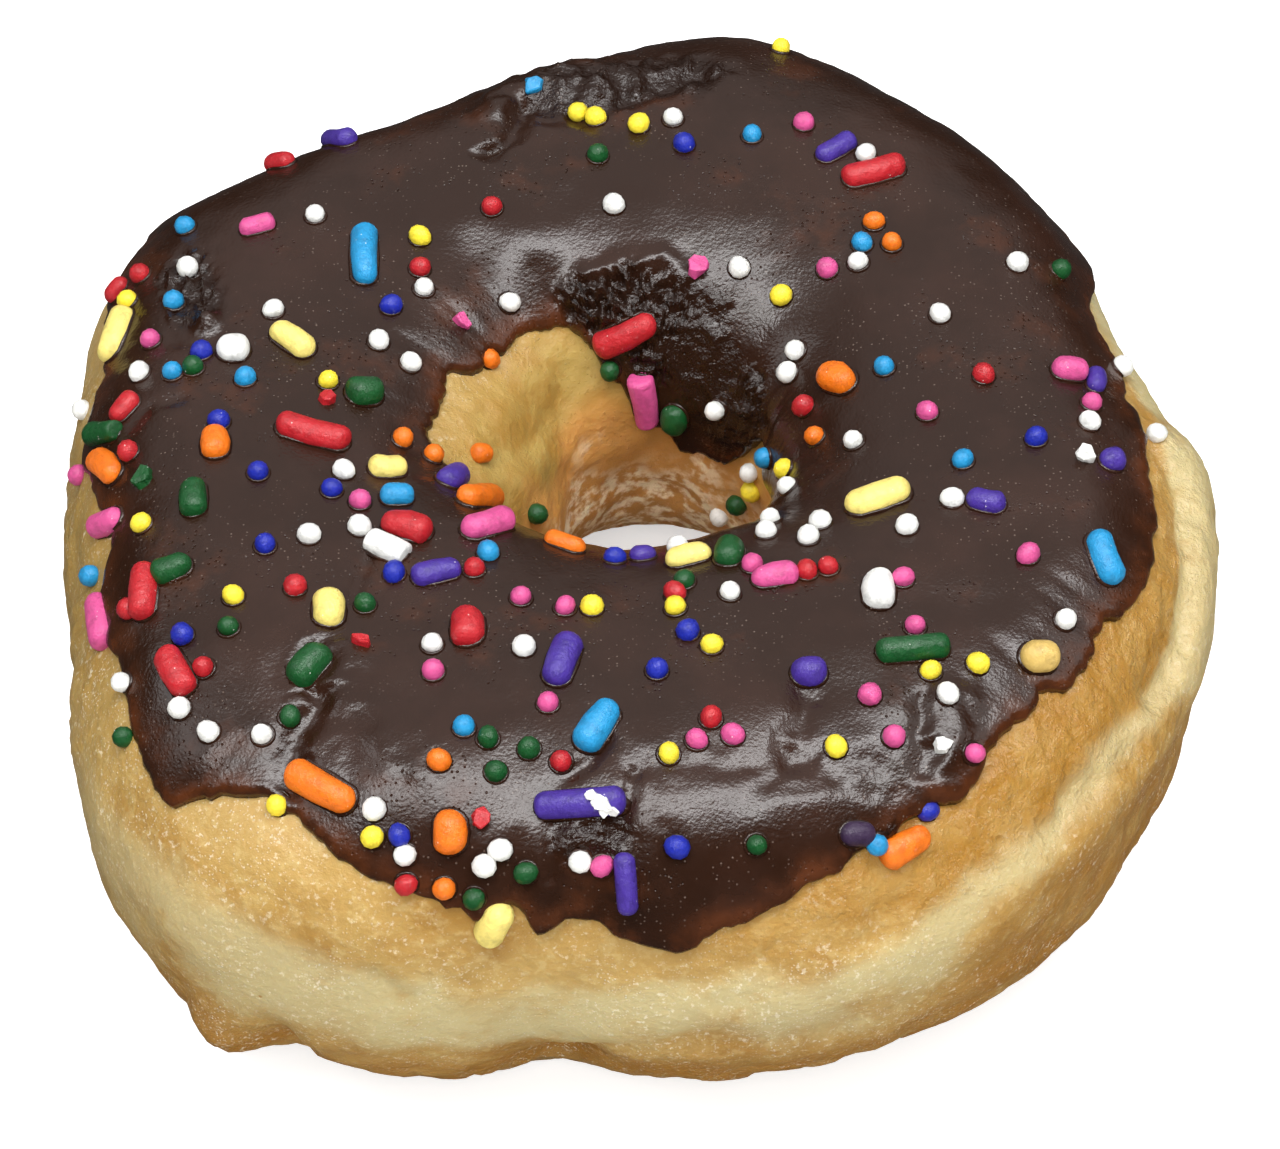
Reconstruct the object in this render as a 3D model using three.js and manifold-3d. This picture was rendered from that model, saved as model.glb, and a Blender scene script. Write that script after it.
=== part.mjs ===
// A frosted ring doughnut: a puffy, uneven ring of fried dough under a coat of chocolate icing,
// which carries long sugar strands and small sugar pearls. Millimetres, +Z up, resting on z = 0.
//
// Places on the ring have two angles, in degrees. The bearing goes round the ring from +X
// towards +Y. The section angle goes round the dough: 0 is the outermost side, 90 the crest,
// 180 the wall of the hole and 270 the underside.
import * as THREE from "three";
import { mergeVertices } from "three/addons/utils/BufferGeometryUtils.js";
import Module from "manifold-3d";

const wasm = await Module();
wasm.setup();

// Driving dimensions of the dough, as [bearing, value] round the ring
const OUTER_RADIUS = [
  [0, 45.8], [7, 43.2], [14, 42], [22, 42], [37, 44.3], [55, 46], [78, 49.2], [100, 44.5],
  [115, 42.5], [135, 45.5], [150, 49.7], [165, 47.4], [185, 46.9], [200, 48], [209, 51], [218, 53],
  [229, 54.5], [238, 53.6], [246, 52], [262, 48], [285, 49], [310, 49.3], [330, 47.8], [345, 47],
];
const HOLE_RADIUS = [
  [0, 10.5], [45, 10], [90, 9], [130, 8], [155, 6.5], [178, 7], [200, 10], [215, 11],
  [235, 10], [255, 8.5], [275, 8], [300, 8.5], [320, 9.5], [340, 10],
];
const CREST_RADIUS = [
  [0, 29], [45, 27.5], [90, 28], [135, 29], [180, 31], [225, 31], [270, 28], [315, 29],
];
const HEIGHT = [[0, 32], [90, 32.5], [135, 31.6], [180, 32], [270, 33]];

// How square the section's corners are: 2 is an ellipse. The hole's upper corner opens like a funnel
const OUTER_SQUARENESS = 2.7;
const FUNNEL_SQUARENESS = [
  [0, 2.5], [90, 2.3], [165, 2.1], [190, 2.4], [215, 2.9], [240, 2.8], [300, 2.6], [330, 2.7],
];
const WAIST_HEIGHT = 0.49; // of the height
const BASE_CUT = 1.4; // how much of the round underside the flat foot takes off

// The soft bulge that runs round the side, as [bearing, section angle of its middle]
const BAND_LINE = [
  [0, 30], [45, 18], [90, 10], [135, 8], [180, 10], [215, 12], [240, 5], [262, -4],
  [280, 0], [300, 11], [320, 17], [335, 15], [350, 26],
];
const BAND_PROUD = [[0, 1.1], [60, 0.6], [180, 0.5], [250, 0.6], [300, 0.7], [340, 1.2]];
const BAND_WIDTH = 13;

// Knobs and creases: bearing, section angle, how wide each way, and how far they stand out
const LUMPS = [
  { bearing: 232.5, section: -24, wide: 3.2, tall: 13, proud: 2 },
  { bearing: 238, section: -22, wide: 1.7, tall: 14, proud: -1.6 },
  { bearing: 262, section: -28, wide: 6, tall: 22, proud: -2.6 },
  { bearing: 320, section: 30, wide: 22, tall: 9, proud: -0.7 },
  { bearing: 245, section: 8, wide: 12, tall: 10, proud: -0.5 },
  { bearing: 205, section: -15, wide: 8, tall: 18, proud: -1.1 },
  { bearing: 95, section: -10, wide: 9, tall: 25, proud: 1 },
  { bearing: 125, section: -20, wide: 7, tall: 20, proud: -1.4 },
  { bearing: 30, section: -12, wide: 10, tall: 20, proud: 1.1 },
];

// A slow ripple: how far it stands out, and its waves and where they start, round the ring and
// over the section
const RIPPLE = { proud: 0.35, wavesRound: 5, startRound: 40, wavesOver: 3, startOver: -20 };

// The icing: where its edges lie, as [bearing, section angle], and its thickness
const OUTER_EDGE = [
  [0, 60], [5, 61], [10, 55], [15, 49], [20, 44], [25, 33], [30, 26], [37, 31], [50, 26], [65, 33],
  [80, 24], [95, 32], [110, 25], [125, 33], [140, 26], [152, 32], [160, 29], [170, 42], [180, 35],
  [186, 43], [195, 50], [201, 42], [210, 45], [216, 42], [221, 39], [226, 43], [230, 50],
  [235, 52], [240, 46],
  [246, 39], [251, 36], [257, 31], [260.5, 27], [264, 30], [267, 29], [269.5, 24], [273, 21],
  [276, 25.5], [280, 31], [285, 35], [290, 39], [295, 44], [299, 49], [304, 47], [308, 55],
  [313, 57], [317, 58], [320, 55], [326, 57], [333, 58], [336, 52], [340, 50], [344, 51],
  [348, 55], [353, 53.5],
];
const INNER_EDGE = [
  [0, 165], [10, 168], [18, 166], [22, 159], [26, 157], [30, 165], [35, 171], [42, 176], [50, 180],
  [60, 183], [70, 181], [80, 178], [87, 173], [93, 165], [99, 155], [105, 149], [110, 142],
  [114, 136], [120, 134], [130, 131], [140, 130], [150, 127], [160, 124], [180, 125], [190, 128],
  [200, 138], [210, 147], [225, 147], [240, 145], [255, 142], [270, 140], [285, 144], [300, 146],
  [330, 152], [345, 158],
];
const ICING_THICKNESS = 1.5;
const ICING_GAP = 0.65; // to the dough, so that the flat facets of the two stay apart
const LIP_SHARE = 0.55; // of the thickness, at the rounded edge
const LIP_WIDTH = 1.1;

// Sugar strands and pearls: how many, their sizes in millimetres and how they are spread
const STRANDS = 46;
const PEARLS = 86;
const STRAND_RADIUS = 1.2;
const STRAND_BLUNTNESS = 0.6; // of its radius, the length of a strand's tapered end
const STRAND_SIDES = 6;
const STRAND_LENGTH = { shortest: 3.2, longest: 6 };
const PEARL_RADIUS = 0.87;
const SPRINKLE_LIFT = 0.35; // of its radius, from the icing to a sprinkle's middle
const BARE_OUTSIDE = 0.08; // of the icing's width, kept free of sprinkles at its outer edge
const BARE_INSIDE = 0.22; // and at its inner edge
const STRAND_SPACING = 7.4;
const PEARL_SPACING = 4.1;
const SPRINKLE_SEED = 11;
const TRIES_EACH = 60; // for each sprinkle, before a place is given up

const DOUGH_COLOR = 0xc99650;
const DOUGH_ROUGHNESS = 0.6;
const ICING_COLOR = 0x2e1a14;
const ICING_ROUGHNESS = 0.25;

const DOUGH_STEPS = { round: 88, section: 20 };
const ICING_STEPS = { round: 104, across: 9 };
const NORMAL_STEP = 0.5; // degrees each way, over which the surface's direction is measured
const MERGE_DISTANCE = 1e-4;

const UP = new THREE.Vector3(0, 0, 1);
const TRUE_SIZE = new THREE.Vector3(1, 1, 1);
const radians = THREE.MathUtils.degToRad;

// A smooth closed curve through [bearing, value] stations
function around(stations) {
  const count = stations.length;
  const station = (i) => {
    const turns = Math.floor(i / count);
    const [bearing, value] = stations[i - turns * count];
    return { bearing: bearing + 360 * turns, value };
  };
  return (bearing) => {
    const wrapped = THREE.MathUtils.euclideanModulo(bearing, 360);
    let i = count - 1;
    while (i >= 0 && stations[i][0] > wrapped) i -= 1;
    const [before, from, to, after] = [i - 1, i, i + 1, i + 2].map(station);
    const span = to.bearing - from.bearing;
    const leave = ((to.value - before.value) / (to.bearing - before.bearing)) * span;
    const arrive = ((after.value - from.value) / (after.bearing - from.bearing)) * span;
    const u = (wrapped - from.bearing) / span;
    return (
      (2 * u ** 3 - 3 * u ** 2 + 1) * from.value +
      (u ** 3 - 2 * u ** 2 + u) * leave +
      (3 * u ** 2 - 2 * u ** 3) * to.value +
      (u ** 3 - u ** 2) * arrive
    );
  };
}

// The ring's largest reach and its tightest hole
const RING = {
  widest: Math.max(...OUTER_RADIUS.map(([, radius]) => radius)),
  hole: Math.min(...HOLE_RADIUS.map(([, radius]) => radius)),
};

const outerRadius = around(OUTER_RADIUS);
const holeRadius = around(HOLE_RADIUS);
const crestRadius = around(CREST_RADIUS);
const height = around(HEIGHT);
const funnelSquareness = around(FUNNEL_SQUARENESS);
const bandLine = around(BAND_LINE);
const bandProud = around(BAND_PROUD);
const outerEdge = around(OUTER_EDGE);
const innerEdge = around(INNER_EDGE);

// A hump of height 1 at 0 that fades out over the given width
const hump = (distance, width) => Math.exp(-((distance / width) ** 2));

// The shortest way from one angle to another, between -180 and 180
const turn = (from, to) => THREE.MathUtils.euclideanModulo(to - from + 180, 360) - 180;

// How far the dough's uneven surface stands proud of its smooth section
function unevenness(bearing, section) {
  let proud = bandProud(bearing) * hump(turn(bandLine(bearing), section), BAND_WIDTH);
  for (const lump of LUMPS) {
    const away = hump(turn(lump.bearing, bearing), lump.wide);
    proud += lump.proud * away * hump(turn(lump.section, section), lump.tall);
  }
  const round = Math.sin(radians(RIPPLE.wavesRound * bearing + RIPPLE.startRound));
  const over = Math.cos(radians(RIPPLE.wavesOver * section + RIPPLE.startOver));
  return proud + RIPPLE.proud * round * over;
}

// A point of the dough's surface
function doughPoint(bearing, section) {
  const across = Math.cos(radians(section));
  const up = Math.sin(radians(section));
  const inTheHole = across < 0 && up > 0;
  const corner = 2 / (inTheHole ? funnelSquareness(bearing) : OUTER_SQUARENESS);
  const rounded = (value) => Math.sign(value) * Math.abs(value) ** corner;
  const crest = crestRadius(bearing);
  const reach = across > 0 ? outerRadius(bearing) - crest : crest - holeRadius(bearing);
  const waist = WAIST_HEIGHT * height(bearing);
  const rise = up > 0 ? height(bearing) - waist : waist + BASE_CUT;
  const proud = unevenness(bearing, section);
  const radius = crest + reach * rounded(across) + proud * across;
  const z = waist + rise * rounded(up) + proud * up;
  return new THREE.Vector3(
    radius * Math.cos(radians(bearing)),
    radius * Math.sin(radians(bearing)),
    Math.max(z, 0),
  );
}

// The direction that the dough's surface faces
function doughNormal(bearing, section) {
  const step = NORMAL_STEP;
  const round = doughPoint(bearing + step, section).sub(doughPoint(bearing - step, section));
  const along = doughPoint(bearing, section + step).sub(doughPoint(bearing, section - step));
  return round.cross(along).normalize();
}

// The section angle at a share of the way from the icing's outer edge to its inner edge
const icingSection = (bearing, share) =>
  outerEdge(bearing) + (innerEdge(bearing) - outerEdge(bearing)) * share;

// A point a given height above the dough, under or on the icing
function icingPoint(bearing, share, above) {
  const section = icingSection(bearing, share);
  return doughPoint(bearing, section).addScaledVector(doughNormal(bearing, section), above);
}

// A torus whose points all move: a function gives them from the bearing and the section's step
function ringGeometry(roundSteps, sectionSteps, pointAt) {
  const { widest, hole } = RING;
  const plainTube = (widest - hole) / 4;
  const geometry = new THREE.TorusGeometry(hole + 2 * plainTube, plainTube, sectionSteps, roundSteps);
  const position = geometry.getAttribute("position");
  for (let step = 0; step <= sectionSteps; step += 1) {
    for (let i = 0; i <= roundSteps; i += 1) {
      const bearing = ((i % roundSteps) * 360) / roundSteps;
      const point = pointAt(bearing, step % sectionSteps);
      position.setXYZ(step * (roundSteps + 1) + i, point.x, point.y, point.z);
    }
  }
  return geometry;
}

function doughGeometry() {
  const { round, section } = DOUGH_STEPS;
  return ringGeometry(round, section, (bearing, step) => doughPoint(bearing, (step * 360) / section));
}

// The icing's section goes over its top from the outer edge to the inner one and back underneath
function icingGeometry() {
  const { round, across } = ICING_STEPS;
  const lip = ICING_GAP + ICING_THICKNESS * LIP_SHARE;
  const pointAt = (bearing, step) => {
    const outside = icingPoint(bearing, 0, lip);
    const inside = icingPoint(bearing, 1, lip);
    if (step === 0) return outside;
    if (step === across) return inside;
    const lipShare = LIP_WIDTH / outside.distanceTo(inside);
    const onTop = step < across;
    const stepInwards = onTop ? step : 2 * across - step;
    const share = THREE.MathUtils.mapLinear(stepInwards, 1, across - 1, lipShare, 1 - lipShare);
    return icingPoint(bearing, share, onTop ? ICING_GAP + ICING_THICKNESS : ICING_GAP);
  };
  return ringGeometry(round, 2 * across, pointAt);
}

// A closed mesh as a manifold-3d solid
function solidOf(geometry, matrix = new THREE.Matrix4()) {
  const bare = new THREE.BufferGeometry();
  bare.setAttribute("position", geometry.getAttribute("position").clone());
  bare.setIndex(geometry.index ? geometry.index.clone() : null);
  const merged = mergeVertices(bare.applyMatrix4(matrix), MERGE_DISTANCE);
  const triangles = [];
  for (let i = 0; i < merged.index.count; i += 3) {
    const [a, b, c] = [0, 1, 2].map((k) => merged.index.getX(i + k));
    if (a !== b && b !== c && c !== a) triangles.push(a, b, c);
  }
  const vertProperties = merged.attributes.position.array;
  const triVerts = Uint32Array.from(triangles);
  return new wasm.Manifold(new wasm.Mesh({ numProp: 3, vertProperties, triVerts }));
}

// A manifold-3d solid as a three.js geometry
function geometryOf(solid) {
  const mesh = solid.getMesh();
  const geometry = new THREE.BufferGeometry();
  geometry.setAttribute("position", new THREE.BufferAttribute(new Float32Array(mesh.vertProperties), 3));
  geometry.setIndex(new THREE.BufferAttribute(new Uint32Array(mesh.triVerts), 1));
  geometry.computeVertexNormals();
  return geometry;
}

// A sugar strand lies along Y: a rod with blunt, rounded ends
function strandGeometry(length) {
  const end = length / 2;
  const shoulder = end - STRAND_RADIUS * STRAND_BLUNTNESS;
  const profile = [
    new THREE.Vector2(0, -end),
    new THREE.Vector2(STRAND_RADIUS, -shoulder),
    new THREE.Vector2(STRAND_RADIUS, shoulder),
    new THREE.Vector2(0, end),
  ];
  return new THREE.LatheGeometry(profile, STRAND_SIDES);
}

// A repeatable run of numbers between 0 and 1, by a linear congruential rule
function seededNumbers(seed) {
  const multiplier = 1664525;
  const increment = 1013904223;
  const range = 2 ** 32;
  let state = seed;
  return () => {
    state = (Math.imul(state, multiplier) + increment) >>> 0;
    return state / range;
  };
}

// Places on the icing that keep their distance from each other, strands first, then pearls
function sprinklePlaces(random) {
  const places = [];
  const wanted = [
    { kind: "strand", count: STRANDS, spacing: STRAND_SPACING },
    { kind: "pearl", count: PEARLS, spacing: PEARL_SPACING },
  ];
  for (const { kind, count, spacing } of wanted) {
    let left = count;
    for (let tries = 0; left > 0 && tries < TRIES_EACH * count; tries += 1) {
      const bearing = 360 * random();
      const share = THREE.MathUtils.lerp(BARE_OUTSIDE, 1 - BARE_INSIDE, random());
      const at = icingPoint(bearing, share, ICING_GAP + ICING_THICKNESS);
      const crowdsTheHole = Math.hypot(at.x, at.y) < RING.widest * random();
      if (crowdsTheHole || places.some((other) => other.at.distanceTo(at) < spacing)) continue;
      places.push({ kind, at, facing: doughNormal(bearing, icingSection(bearing, share)) });
      left -= 1;
    }
  }
  return places;
}

// The sprinkles, pressed into the icing
function sprinkleSolids() {
  const random = seededNumbers(SPRINKLE_SEED);
  return sprinklePlaces(random).map(({ kind, at, facing }) => {
    const radius = kind === "strand" ? STRAND_RADIUS : PEARL_RADIUS;
    const lying = new THREE.Quaternion().setFromUnitVectors(UP, facing);
    const heading = new THREE.Quaternion().setFromAxisAngle(UP, 2 * Math.PI * random());
    const middle = at.clone().addScaledVector(facing, radius * SPRINKLE_LIFT);
    const matrix = new THREE.Matrix4().compose(middle, lying.multiply(heading), TRUE_SIZE);
    const length = THREE.MathUtils.lerp(STRAND_LENGTH.shortest, STRAND_LENGTH.longest, random());
    const shape = kind === "strand" ? strandGeometry(length) : new THREE.IcosahedronGeometry(radius, 0);
    return solidOf(shape, matrix);
  });
}

function material(color, roughness) {
  return new THREE.MeshStandardMaterial({ color, roughness, metalness: 0 });
}

const dough = new THREE.Mesh(doughGeometry(), material(DOUGH_COLOR, DOUGH_ROUGHNESS));
dough.name = "dough";

const sprinkledIcing = wasm.Manifold.union([solidOf(icingGeometry()), ...sprinkleSolids()]);
const icing = new THREE.Mesh(geometryOf(sprinkledIcing), material(ICING_COLOR, ICING_ROUGHNESS));
icing.name = "chocolate_icing";

const doughnut = new THREE.Group();
doughnut.add(dough, icing);

// The origin is under the middle of the doughnut's outer box
const middle = new THREE.Box3().setFromObject(doughnut).getCenter(new THREE.Vector3());
doughnut.position.set(-middle.x, -middle.y, 0);

export default doughnut;
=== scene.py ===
"""A frosted ring doughnut: puffy fried dough under chocolate icing, with sugar strands and pearls.

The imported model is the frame. The two nodes are replaced by finely shaped pieces of the same form.
Places on the ring have two angles, in degrees: the bearing goes round the ring from +X towards +Y,
and the section angle goes round the dough, with 0 outermost, 90 at the crest, 180 in the hole.
"""

import math
import random

import bpy
import numpy as np
from mathutils import Matrix, Vector, noise
from mathutils.bvhtree import BVHTree


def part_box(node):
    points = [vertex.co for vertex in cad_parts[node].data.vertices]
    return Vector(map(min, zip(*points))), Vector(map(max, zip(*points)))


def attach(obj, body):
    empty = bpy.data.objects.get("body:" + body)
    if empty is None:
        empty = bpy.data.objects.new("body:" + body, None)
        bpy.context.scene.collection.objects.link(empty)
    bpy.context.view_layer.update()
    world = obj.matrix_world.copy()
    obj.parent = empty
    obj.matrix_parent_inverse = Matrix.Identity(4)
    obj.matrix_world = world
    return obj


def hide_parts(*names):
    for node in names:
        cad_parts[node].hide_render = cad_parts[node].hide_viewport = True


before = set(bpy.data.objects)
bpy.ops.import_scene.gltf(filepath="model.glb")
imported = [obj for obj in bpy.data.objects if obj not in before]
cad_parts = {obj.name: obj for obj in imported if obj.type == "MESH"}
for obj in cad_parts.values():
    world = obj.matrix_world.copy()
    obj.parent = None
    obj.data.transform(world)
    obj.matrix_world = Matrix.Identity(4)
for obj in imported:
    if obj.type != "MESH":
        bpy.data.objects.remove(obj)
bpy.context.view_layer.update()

MM = 0.001

# The photograph, its size in pixels and the view it was taken from
PHOTO_WIDTH = 1280
PHOTO_HEIGHT = 1149
VIEW_ELEVATION = 50  # degrees
VIEW_DISTANCE = 450 * MM
VIEW_WIDTH = 104.6 * MM  # what the photograph is wide at that distance
PIXELS_PER_MM = PHOTO_WIDTH / VIEW_WIDTH * MM
AIM_HEIGHT = 17 * MM  # the point of the ring's axis at this height shows at the next pixel
AIM_PIXEL = (641, 533)
SENSOR_WIDTH = 36

# The dough's form, in millimetres, as [bearing, value] round the ring
OUTER_RADIUS = [
    (0, 45.8), (7, 43.2), (14, 42), (22, 42), (37, 44.3), (55, 46), (78, 49.2), (100, 44.5),
    (115, 42.5), (135, 45.5), (150, 49.7), (165, 47.4), (185, 46.9), (200, 48), (209, 51), (218, 53),
    (229, 54.5), (238, 53.6), (246, 52), (262, 48), (285, 49), (310, 49.3), (330, 47.8), (345, 47),
]
HOLE_RADIUS = [
    (0, 10.5), (45, 10), (90, 9), (130, 8), (155, 6.5), (178, 7), (200, 10), (215, 11),
    (235, 10), (255, 8.5), (275, 8), (300, 8.5), (320, 9.5), (340, 10),
]
CREST_RADIUS = [
    (0, 29), (45, 27.5), (90, 28), (135, 29), (180, 31), (225, 31), (270, 28), (315, 29),
]
HEIGHT = [(0, 32), (90, 32.5), (135, 31.6), (180, 32), (270, 33)]
OUTER_SQUARENESS = 2.7  # of the section: 2 is an ellipse, and more is squarer
FUNNEL_SQUARENESS = [
    (0, 2.5), (90, 2.3), (165, 2.1), (190, 2.4), (215, 2.9), (240, 2.8), (300, 2.6), (330, 2.7),
]
WAIST_HEIGHT = 0.49  # where the dough is widest, as a share of its height
BASE_CUT = 1.4  # how much of its round underside the flat foot cuts off
# The side band that stands out: the section angle of its middle, how far it does, and its width
BAND_LINE = [
    (0, 30), (45, 18), (90, 10), (135, 8), (180, 10), (215, 12), (240, 5), (262, -4),
    (280, 0), (300, 11), (320, 17), (335, 15), (350, 26),
]
BAND_PROUD = [(0, 1.1), (60, 0.6), (180, 0.5), (250, 0.6), (300, 0.7), (340, 1.2)]
BAND_WIDTH = 13
RIPPLE_PROUD = 0.35
RIPPLES_ROUND = (5, 40)  # how many swells lie round the ring, and the angle they start from
RIPPLES_ACROSS = (3, -20)  # and round the section
# Knobs and creases: bearing, section angle, how wide each way, and how far they stand out
LUMPS = [
    (232.5, -24, 3.2, 13, 2.0),
    (238, -22, 1.7, 14, -1.6),
    (262, -28, 6, 22, -2.6),
    (320, 30, 22, 9, -0.7),
    (245, 8, 12, 10, -0.5),
    (205, -15, 8, 18, -1.1),
    (95, -10, 9, 25, 1),
    (125, -20, 7, 20, -1.4),
    (30, -12, 10, 20, 1.1),
]

# The icing's edges, as [bearing, section angle], and its thickness in millimetres
OUTER_EDGE = [
    (0, 55), (5, 52), (10, 45), (15, 45), (20, 43), (25, 34), (30, 26), (37, 31), (50, 26), (65, 33),
    (80, 24), (95, 32), (110, 25), (125, 33), (140, 26), (152, 32), (160, 29), (170, 42), (180, 35),
    (186, 43), (190, 47), (195, 50), (201, 42), (205, 44), (210, 45), (215, 43), (220, 39), (225, 38),
    (227, 44),
    (230, 50), (235, 52), (240, 46), (245, 40), (250, 36.5), (253, 33), (255, 29), (258, 33),
    (260.5, 26), (263, 29), (266, 30.5), (268, 25.5), (270, 23.5), (274, 21.5), (275.5, 24.5),
    (277.5, 28), (281.5, 32.5), (285.5, 37), (289.5, 40), (290.5, 43), (294, 45), (298, 48),
    (302, 49), (305.5, 48.5), (307.5, 54), (310, 57), (314, 56.5), (316, 58), (320, 55), (326, 55),
    (328.5, 57.5), (333, 53), (336, 50.5), (340, 51), (345, 52), (350, 55), (355, 55),
]
INNER_EDGE = [
    (0, 165), (10, 168), (18, 166), (22, 159), (26, 157), (30, 163), (35, 170), (42, 174.5), (50, 177),
    (58, 177.5), (66, 176.5), (74, 174), (82, 170.5), (91, 166), (98, 157.5), (104.5, 151), (108, 145),
    (111, 138.5), (115, 134), (121, 133), (130, 131), (140, 130), (150, 127), (160, 124),
    (180, 125), (190, 128), (200, 138), (210, 147), (225, 147), (240, 145), (255, 142), (270, 140),
    (285, 144), (300, 146), (330, 152), (345, 158),
]
ICING_THICKNESS = 1.45
ICING_LIP = 0.8  # its thickness near an edge
ICING_SINK = 0.25  # how far its underside reaches into the dough
RAGGED = 2.6  # how far its edges wave, in degrees of section angle
BEAD_THICKNESS = 0.2  # of the icing's rim round a sprinkle, as a share of the sprinkle's radius

# Lines on the icing, along pixels of the photograph: width and height in millimetres, grooves below 0
CREASES = [
    ([(490, 145), (508, 120), (524, 100)], 1.0, -1.0),
    ([(505, 92), (540, 76), (600, 66)], 2.6, 0.9),
    ([(524, 101), (560, 112), (605, 100), (660, 82), (704, 67)], 1.1, -0.6),
    ([(560, 100), (620, 118), (650, 126)], 1.6, -0.35),
    ([(340, 668), (372, 705), (402, 752)], 2.2, 0.4),
    ([(318, 690), (305, 712), (288, 740), (290, 778)], 1.0, -0.8),
    ([(322, 735), (318, 765)], 1.2, 0.3),
    ([(296, 698), (282, 668), (293, 640), (318, 630), (338, 644), (336, 672)], 0.8, 0.4),
    ([(638, 762), (627, 792), (622, 825), (608, 842)], 0.5, -0.55),
    ([(552, 822), (548, 848), (545, 882)], 0.5, -0.45),
    ([(612, 732), (585, 757), (560, 770)], 0.7, -0.4),
    ([(376, 545), (360, 572), (352, 596)], 0.45, -0.35),
    ([(640, 752), (720, 765), (800, 762), (880, 770)], 1.6, -0.3),
    ([(802, 690), (806, 725), (798, 755)], 1.1, -0.4),
    ([(926, 690), (924, 730), (930, 765)], 1.0, -0.5),
    ([(955, 690), (962, 728), (952, 768)], 1.7, 0.45),
    ([(655, 820), (648, 860), (640, 905)], 1.2, 0.35),
    ([(125, 420), (140, 402), (175, 386)], 0.7, -0.35),
    ([(180, 330), (200, 338), (216, 326)], 1.2, -0.4),
    ([(569, 288), (590, 272), (623, 262), (660, 259), (690, 272)], 0.8, 0.45),
]
# Dents in the icing: pixel of the middle, reach and depth in millimetres
DENTS = [
    ((309, 662), 2.6, 0.9),
    ((252, 655), 5.0, -0.4),
    ((450, 760), 4.0, -0.4),
    ((500, 645), 6.0, -0.35),
    ((520, 800), 5.0, 0.4),
    ((700, 800), 6.0, -0.35),
    ((755, 700), 3.4, -0.4),
    ((862, 640), 2.8, -0.35),
    ((896, 698), 2.6, -0.3),
    ((640, 600), 4.0, 0.35),
    ((700, 590), 3.5, -0.4),
    ((560, 850), 3.0, -0.35),
    ((800, 500), 3.5, 0.4),
    ((207, 317), 1.1, -1.0),
    ((180, 275), 2.6, 0.35),
    ((150, 650), 3.0, -0.3),
    ((480, 250), 3.0, 0.3),
    ((530, 230), 2.6, -0.3),
]
# Torn and crumbly patches: pixels along each, reach, size of its crumbs and their height
TORN = [
    ([(585, 302), (625, 294), (662, 312)], 2.4, 1.3, 0.9),
    ([(640, 350), (652, 374)], 1.5, 1.2, 0.7),
    ([(690, 315), (708, 375), (733, 420)], 3.6, 3.2, 0.3),
    ([(752, 380), (748, 420)], 1.1, 1.1, 0.6),
    ([(180, 262), (200, 300)], 2.2, 1.7, 0.6),
    ([(560, 88), (620, 78), (690, 62)], 3.0, 2.8, 0.6),
    ([(900, 835), (870, 850)], 1.2, 1.2, 0.4),
    ([(580, 845), (610, 835)], 2.0, 1.6, 0.4),
]
# Folds of the dough, along pixels of the photograph, as on the icing
DOUGH_FOLDS = [
    ([(370, 969), (392, 988), (411, 1004)], 0.6, -0.5),
    ([(1137, 748), (1106, 770), (1075, 791), (1045, 831)], 1.2, -0.7),
    ([(1160, 715), (1140, 735), (1110, 757)], 2.2, 0.5),
    ([(1157, 448), (1175, 482), (1183, 521), (1184, 580), (1177, 644), (1152, 696)], 1.3, -0.8),
    ([(884, 870), (890, 900), (880, 935)], 1.2, -0.4),
    ([(562, 1049), (606, 1038), (700, 1034), (830, 1023)], 1.3, -0.7),
    ([(500, 345), (520, 400), (560, 440)], 2.6, -0.2),
    ([(445, 455), (500, 415), (558, 350)], 1.6, 0.3),
    ([(470, 480), (530, 440), (575, 385)], 1.4, -0.3),
    ([(450, 400), (490, 370), (520, 350)], 1.2, -0.25),
    ([(440, 400), (500, 450), (560, 470)], 2.6, 0.25),
    ([(540, 500), (600, 480), (680, 492)], 1.6, -0.25),
]

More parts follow.
